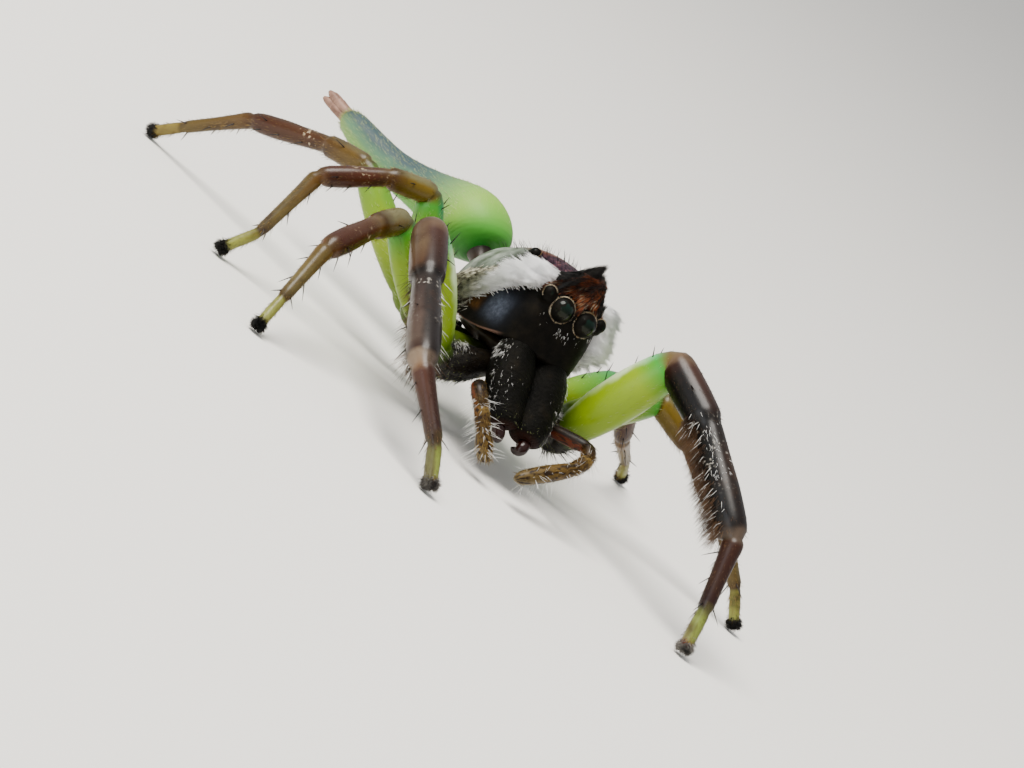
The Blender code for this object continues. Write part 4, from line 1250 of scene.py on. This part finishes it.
def limb_hairs(
    name, mat, slot, limb, u, turn, lean, lift, lengths, radii, seed, spread=0.12, floor=None, **more
):
    """Hairs on a limb at places u and turns (0 outer side, a quarter turn the back), lift out of the
    skin and lean along it. Over a floor they are cut short of it."""
    if limb.outer < 0:
        turn = math.pi - turn
    points, out, forward = limb.surface(u, turn)
    ways = out * lift + forward * lean + normal_noise(seed, spread, *points.shape)
    lengths = np.broadcast_to(lengths, len(points))
    if floor is not None:
        drop = ways[:, 2] / np.linalg.norm(ways, axis=1) * lengths
        room = np.clip((points[:, 2] - floor) / np.maximum(-drop, 1e-6), 0.05, 1)
        lengths = np.where(drop < 0, lengths * room, lengths)
    unwrap = np.stack([u / limb.count, np.mod(turn, FULL_TURN) / FULL_TURN], axis=1)
    roots = points - out * ROOT_DEPTH
    ob = make_hairs(name, roots, ways, lengths, radii, unwrap, limb.marks(u, turn), **more)
    return finish_piece(ob, mat)


SPINE_ROWS = (
    (1.5, 80), (1.72, 70), (1.9, 60), (1.9, 120), (2.5, 150), (3.25, -40), (3.25, -140), (3.55, -35),
    (3.55, -145), (3.8, -40), (3.8, -140), (3.4, 20), (3.75, 160), (4.2, -30), (4.2, -150), (4.55, -35),
    (4.55, -145), (4.9, 20), (4.9, 160), (4.92, -90),
)
for number, (leg, limb) in enumerate(LEGS.items()):
    pair = leg[1]
    slot = "front_shins" if pair == "1" else "femora"
    count = 1500
    turn = scatter(120 + number, 0, FULL_TURN, count)
    down = 0.12 + 0.14 * np.clip(-np.sin(turn), 0, 1) + scatter(140 + number, 0, 0.1, count)
    u = scatter(100 + number, 0.6, 5.8, count)
    thigh = u < 2
    coats = {"thigh": (PALE_HAIR, thigh), "shin": (SHIN_HAIR if pair == "1" else GOLD_HAIR, ~thigh)}
    for part, (mat, on) in coats.items():
        limb_hairs(
            f"{part}_down_{leg}", mat, slot, limb, u[on], turn[on], 0.9, 0.5, down[on], 0.006, 160 + number,
            floor=FLOOR_GAP,
        )
    u, turn = np.array(SPINE_ROWS, dtype=float).T
    lengths = 0.6 * (0.8 if pair in "34" else 1.0) * (1 + 0.15 * np.sin(7 * u + number))
    limb_hairs(
        f"leg_spines_{leg}", SPINE_BLACK, slot, limb, u, np.radians(turn), 0.95, 0.85, lengths, 0.026,
        180 + number, sides=6, joints=4, sag=0.04, floor=FLOOR_GAP,
    )
    count = 900
    u = 5.98 - np.abs(normal_noise(200 + number, 0.1, count))
    turn = scatter(220 + number, 0, FULL_TURN, count)
    lengths = scatter(260 + number, 0.14, 0.28, count)
    mat = GREY_HAIR if pair == "1" else BLACK_HAIR
    foot = "front_feet" if pair == "1" else "feet"
    limb_hairs(
        f"claw_tuft_{leg}", mat, foot, limb, u, turn, 0.7, 0.8, lengths, 0.014, 240 + number,
        spread=0.3, floor=FLOOR_GAP,
    )

# %% Fringes of the front shins and tufts of the front hips
def even_coat(name, mat, slot, limb, count, places, turns, lengths, lean, lift, radius, seed):
    """Hairs spread evenly. places, turns in degrees and lengths are each (seed, low, high)."""
    u, turn, length = (scatter(*limits, count) for limits in (places, turns, lengths))
    limb_hairs(name, mat, slot, limb, u, np.radians(turn), lean, lift, length, radius, seed)


# name, hair, count, middle turn and its spread in degrees, first and last place, length, lift, seed
FRINGES = (
    ("fringe_brown", SHIN_HAIR, 1800, -118, 26, 2.8, 3.93, 1.0, 0.9, 301),
    ("fringe_white", WHITE_HAIR, 60, -150, 26, 2.8, 3.93, 1.0, 0.9, 311),
    ("shin_glint", WHITE_HAIR, 70, 150, 22, 3.02, 3.5, 0.35, 0.25, 321),
)
# name, hair, count, places, turns, lengths, lean, lift, radius, seed
HIP_COATS = (
    ("white", WHITE_HAIR, 260, (333, 0.45, 0.92), (331, -60, 120), (332, 0.2, 0.4), 0.5, 0.6, 0.0065, 334),
    ("black", BLACK_HAIR, 260, (342, 0.95, 1.14), (341, -100, 100), (332, 0.3, 0.6), 0.4, 0.9, 0.012, 344),
    ("down", BLACK_HAIR, 1100, (351, 0.25, 1.12), (352, 0, 360), (353, 0.15, 0.42), 0.8, 0.4, 0.01, 354),
)
for leg in ("R1", "L1"):
    limb = LEGS[leg]
    for name, mat, count, middle, spread, first, last, size, lift, seed in FRINGES:
        u = scatter(seed, first, last, count)
        turn = np.radians(middle + normal_noise(seed + 1, spread, count))
        lengths = scatter(seed + 2, 0.35, 0.95, count) * size
        name = f"{name}_{leg}"
        limb_hairs(name, mat, "front_shins", limb, u, turn, 0.7, lift, lengths, 0.0075, seed + 3, joints=3)
    for name, mat, *coat in HIP_COATS:
        even_coat(f"hip_{name}_{leg}", mat, "coxae", limb, *coat)

# %% [markdown]
# ## Coat of the mouthparts and the abdomen
# White hairs lie on the jaws in a few streaks and thin out towards the tip. Long white hairs stand off
# the palps' outer side, and a short fine down covers the abdomen.

# %% Mouthparts and abdomen hairs
streak = np.repeat((12.0, 34.0, 62.0, 98.0), (95, 45, 30, 14))
streak_turn = np.radians(streak + normal_noise(411, 5, len(streak)))
streak_u = CHELICERA_PIECES * (0.1 + 0.75 * scatter(412, 0, 1, len(streak)) ** 1.3)
streak_lengths = scatter(413, 0.12, 0.28, len(streak))
for letter in SIDES:
    limb = JAWS[letter]
    limb_hairs(
        f"jaw_streaks_{letter}", WHITE_HAIR, "chelicerae", limb, streak_u, streak_turn, 1.0, 0.22,
        streak_lengths, 0.0045, 414,
    )
    u = CHELICERA_PIECES * scatter(415, 0.08, 0.95, 260)
    turn = scatter(416, -0.6, 2.6, 260)
    limb_hairs(f"jaw_down_{letter}", PALE_HAIR, "chelicerae", limb, u, turn, 1.0, 0.2, 0.1, 0.006, 417)
    even_coat(
        f"jaw_tuft_{letter}", WHITE_HAIR, "chelicerae", limb, 110,
        (418, 0.12 * CHELICERA_PIECES, 0.34 * CHELICERA_PIECES), (419, -20, 40), (420, 0.14, 0.3),
        0.8, 0.5, 0.0065, 421,
    )
    limb = FEELERS[letter]
    u = scatter(401, 1.6, 3.9, 110)
    turn = np.radians(normal_noise(402, 75, 110) - 10)
    lengths = scatter(403, 0.35, 0.8, 110)
    limb_hairs(
        f"palp_long_{letter}", WHITE_HAIR, "palps", limb, u, turn, 0.35, 1.0, lengths, 0.006, 404,
        joints=3, sag=0.08,
    )
    even_coat(
        f"palp_down_{letter}", GOLD_HAIR, "palps", limb, 1000,
        (405, 0.2, 3.95), (406, 0, 360), (407, 0.12, 0.28), 1.0, 0.4, 0.008, 408,
    )
even_coat(
    "abdomen_down", PALE_HAIR, "abdomen", ABDOMEN, 4200,
    (431, 0.01 * ABDOMEN_PIECES, 0.985 * ABDOMEN_PIECES), (432, 0, 360), (433, 0.12, 0.26),
    1.0, 0.3, 0.006, 434,
)

# %% [markdown]
# ## Floor, light and camera
# The picture was taken with a long macro lens, level with the spider and turned so that the body runs
# down to the right. The same view stands on a plain pale floor, in soft light from above the head.

# %% Floor
bpy.ops.mesh.primitive_plane_add(size=6.0, location=(0, 0, 0))
floor = bpy.context.object
floor.name = "floor"
card, card_shader = new_material("pale_card", Roughness=0.9)
card_shader.inputs["Base Color"].default_value = linear("#f1efea")
floor.data.materials.append(card)

# %% Camera
CAMERA_AZIMUTH = math.radians(-33.5)
CAMERA_RISE = math.radians(9.5)
CAMERA_ROLL = math.radians(40)
CAMERA_DISTANCE = 0.190
FOCAL_PIXELS = 5320
BODY_PIXEL = (513.1, 327.5)
PICTURE = (1024, 768)

toward = Vector(
    (
        math.sin(CAMERA_AZIMUTH) * math.cos(CAMERA_RISE),
        -math.cos(CAMERA_AZIMUTH) * math.cos(CAMERA_RISE),
        math.sin(CAMERA_RISE),
    )
)
level_right = UP.cross(toward).normalized()
level_up = toward.cross(level_right)
right = level_right * math.cos(CAMERA_ROLL) + level_up * math.sin(CAMERA_ROLL)
upward = level_up * math.cos(CAMERA_ROLL) - level_right * math.sin(CAMERA_ROLL)
per_pixel = CAMERA_DISTANCE / FOCAL_PIXELS
camera_place = (
    BODY_PLACE * MM
    + toward * CAMERA_DISTANCE
    - right * (BODY_PIXEL[0] - PICTURE[0] / 2) * per_pixel
    - upward * (PICTURE[1] / 2 - BODY_PIXEL[1]) * per_pixel
)
lens_data = bpy.data.cameras.new("camera")
lens_data.sensor_width = 36.0
lens_data.lens = FOCAL_PIXELS * lens_data.sensor_width / PICTURE[0]
lens_data.clip_start = 0.01
lens_data.clip_end = 20.0
camera = add_object("camera", lens_data)
camera.matrix_world = Matrix.Translation(camera_place) @ Matrix((right, upward, toward)).transposed().to_4x4()
bpy.context.scene.camera = camera


# %% Lights
def add_light(name, way, distance, size, power, colour):
    data = bpy.data.lights.new(name, "AREA")
    data.shape = "DISK"
    data.size = size
    data.energy = power
    data.color = linear(colour)[:3]
    lamp = add_object(name, data)
    lamp.location = BODY_PLACE * MM + way.normalized() * distance
    lamp.rotation_euler = way.to_track_quat("Z", "Y").to_euler()


add_light("key", upward + toward * 0.5 + UP * 0.5, distance=0.30, size=0.2, power=2.1, colour="#fffaf2")
add_light("fill", toward - right * 0.9 + UP * 0.5, distance=0.35, size=0.25, power=0.5, colour="#f4f8ff")
world = bpy.data.worlds.new("soft_room")
world.use_nodes = True
sky = world.node_tree.nodes["Background"]
sky.inputs["Color"].default_value = linear("#f4f5f6")
sky.inputs["Strength"].default_value = 0.68
bpy.context.scene.world = world
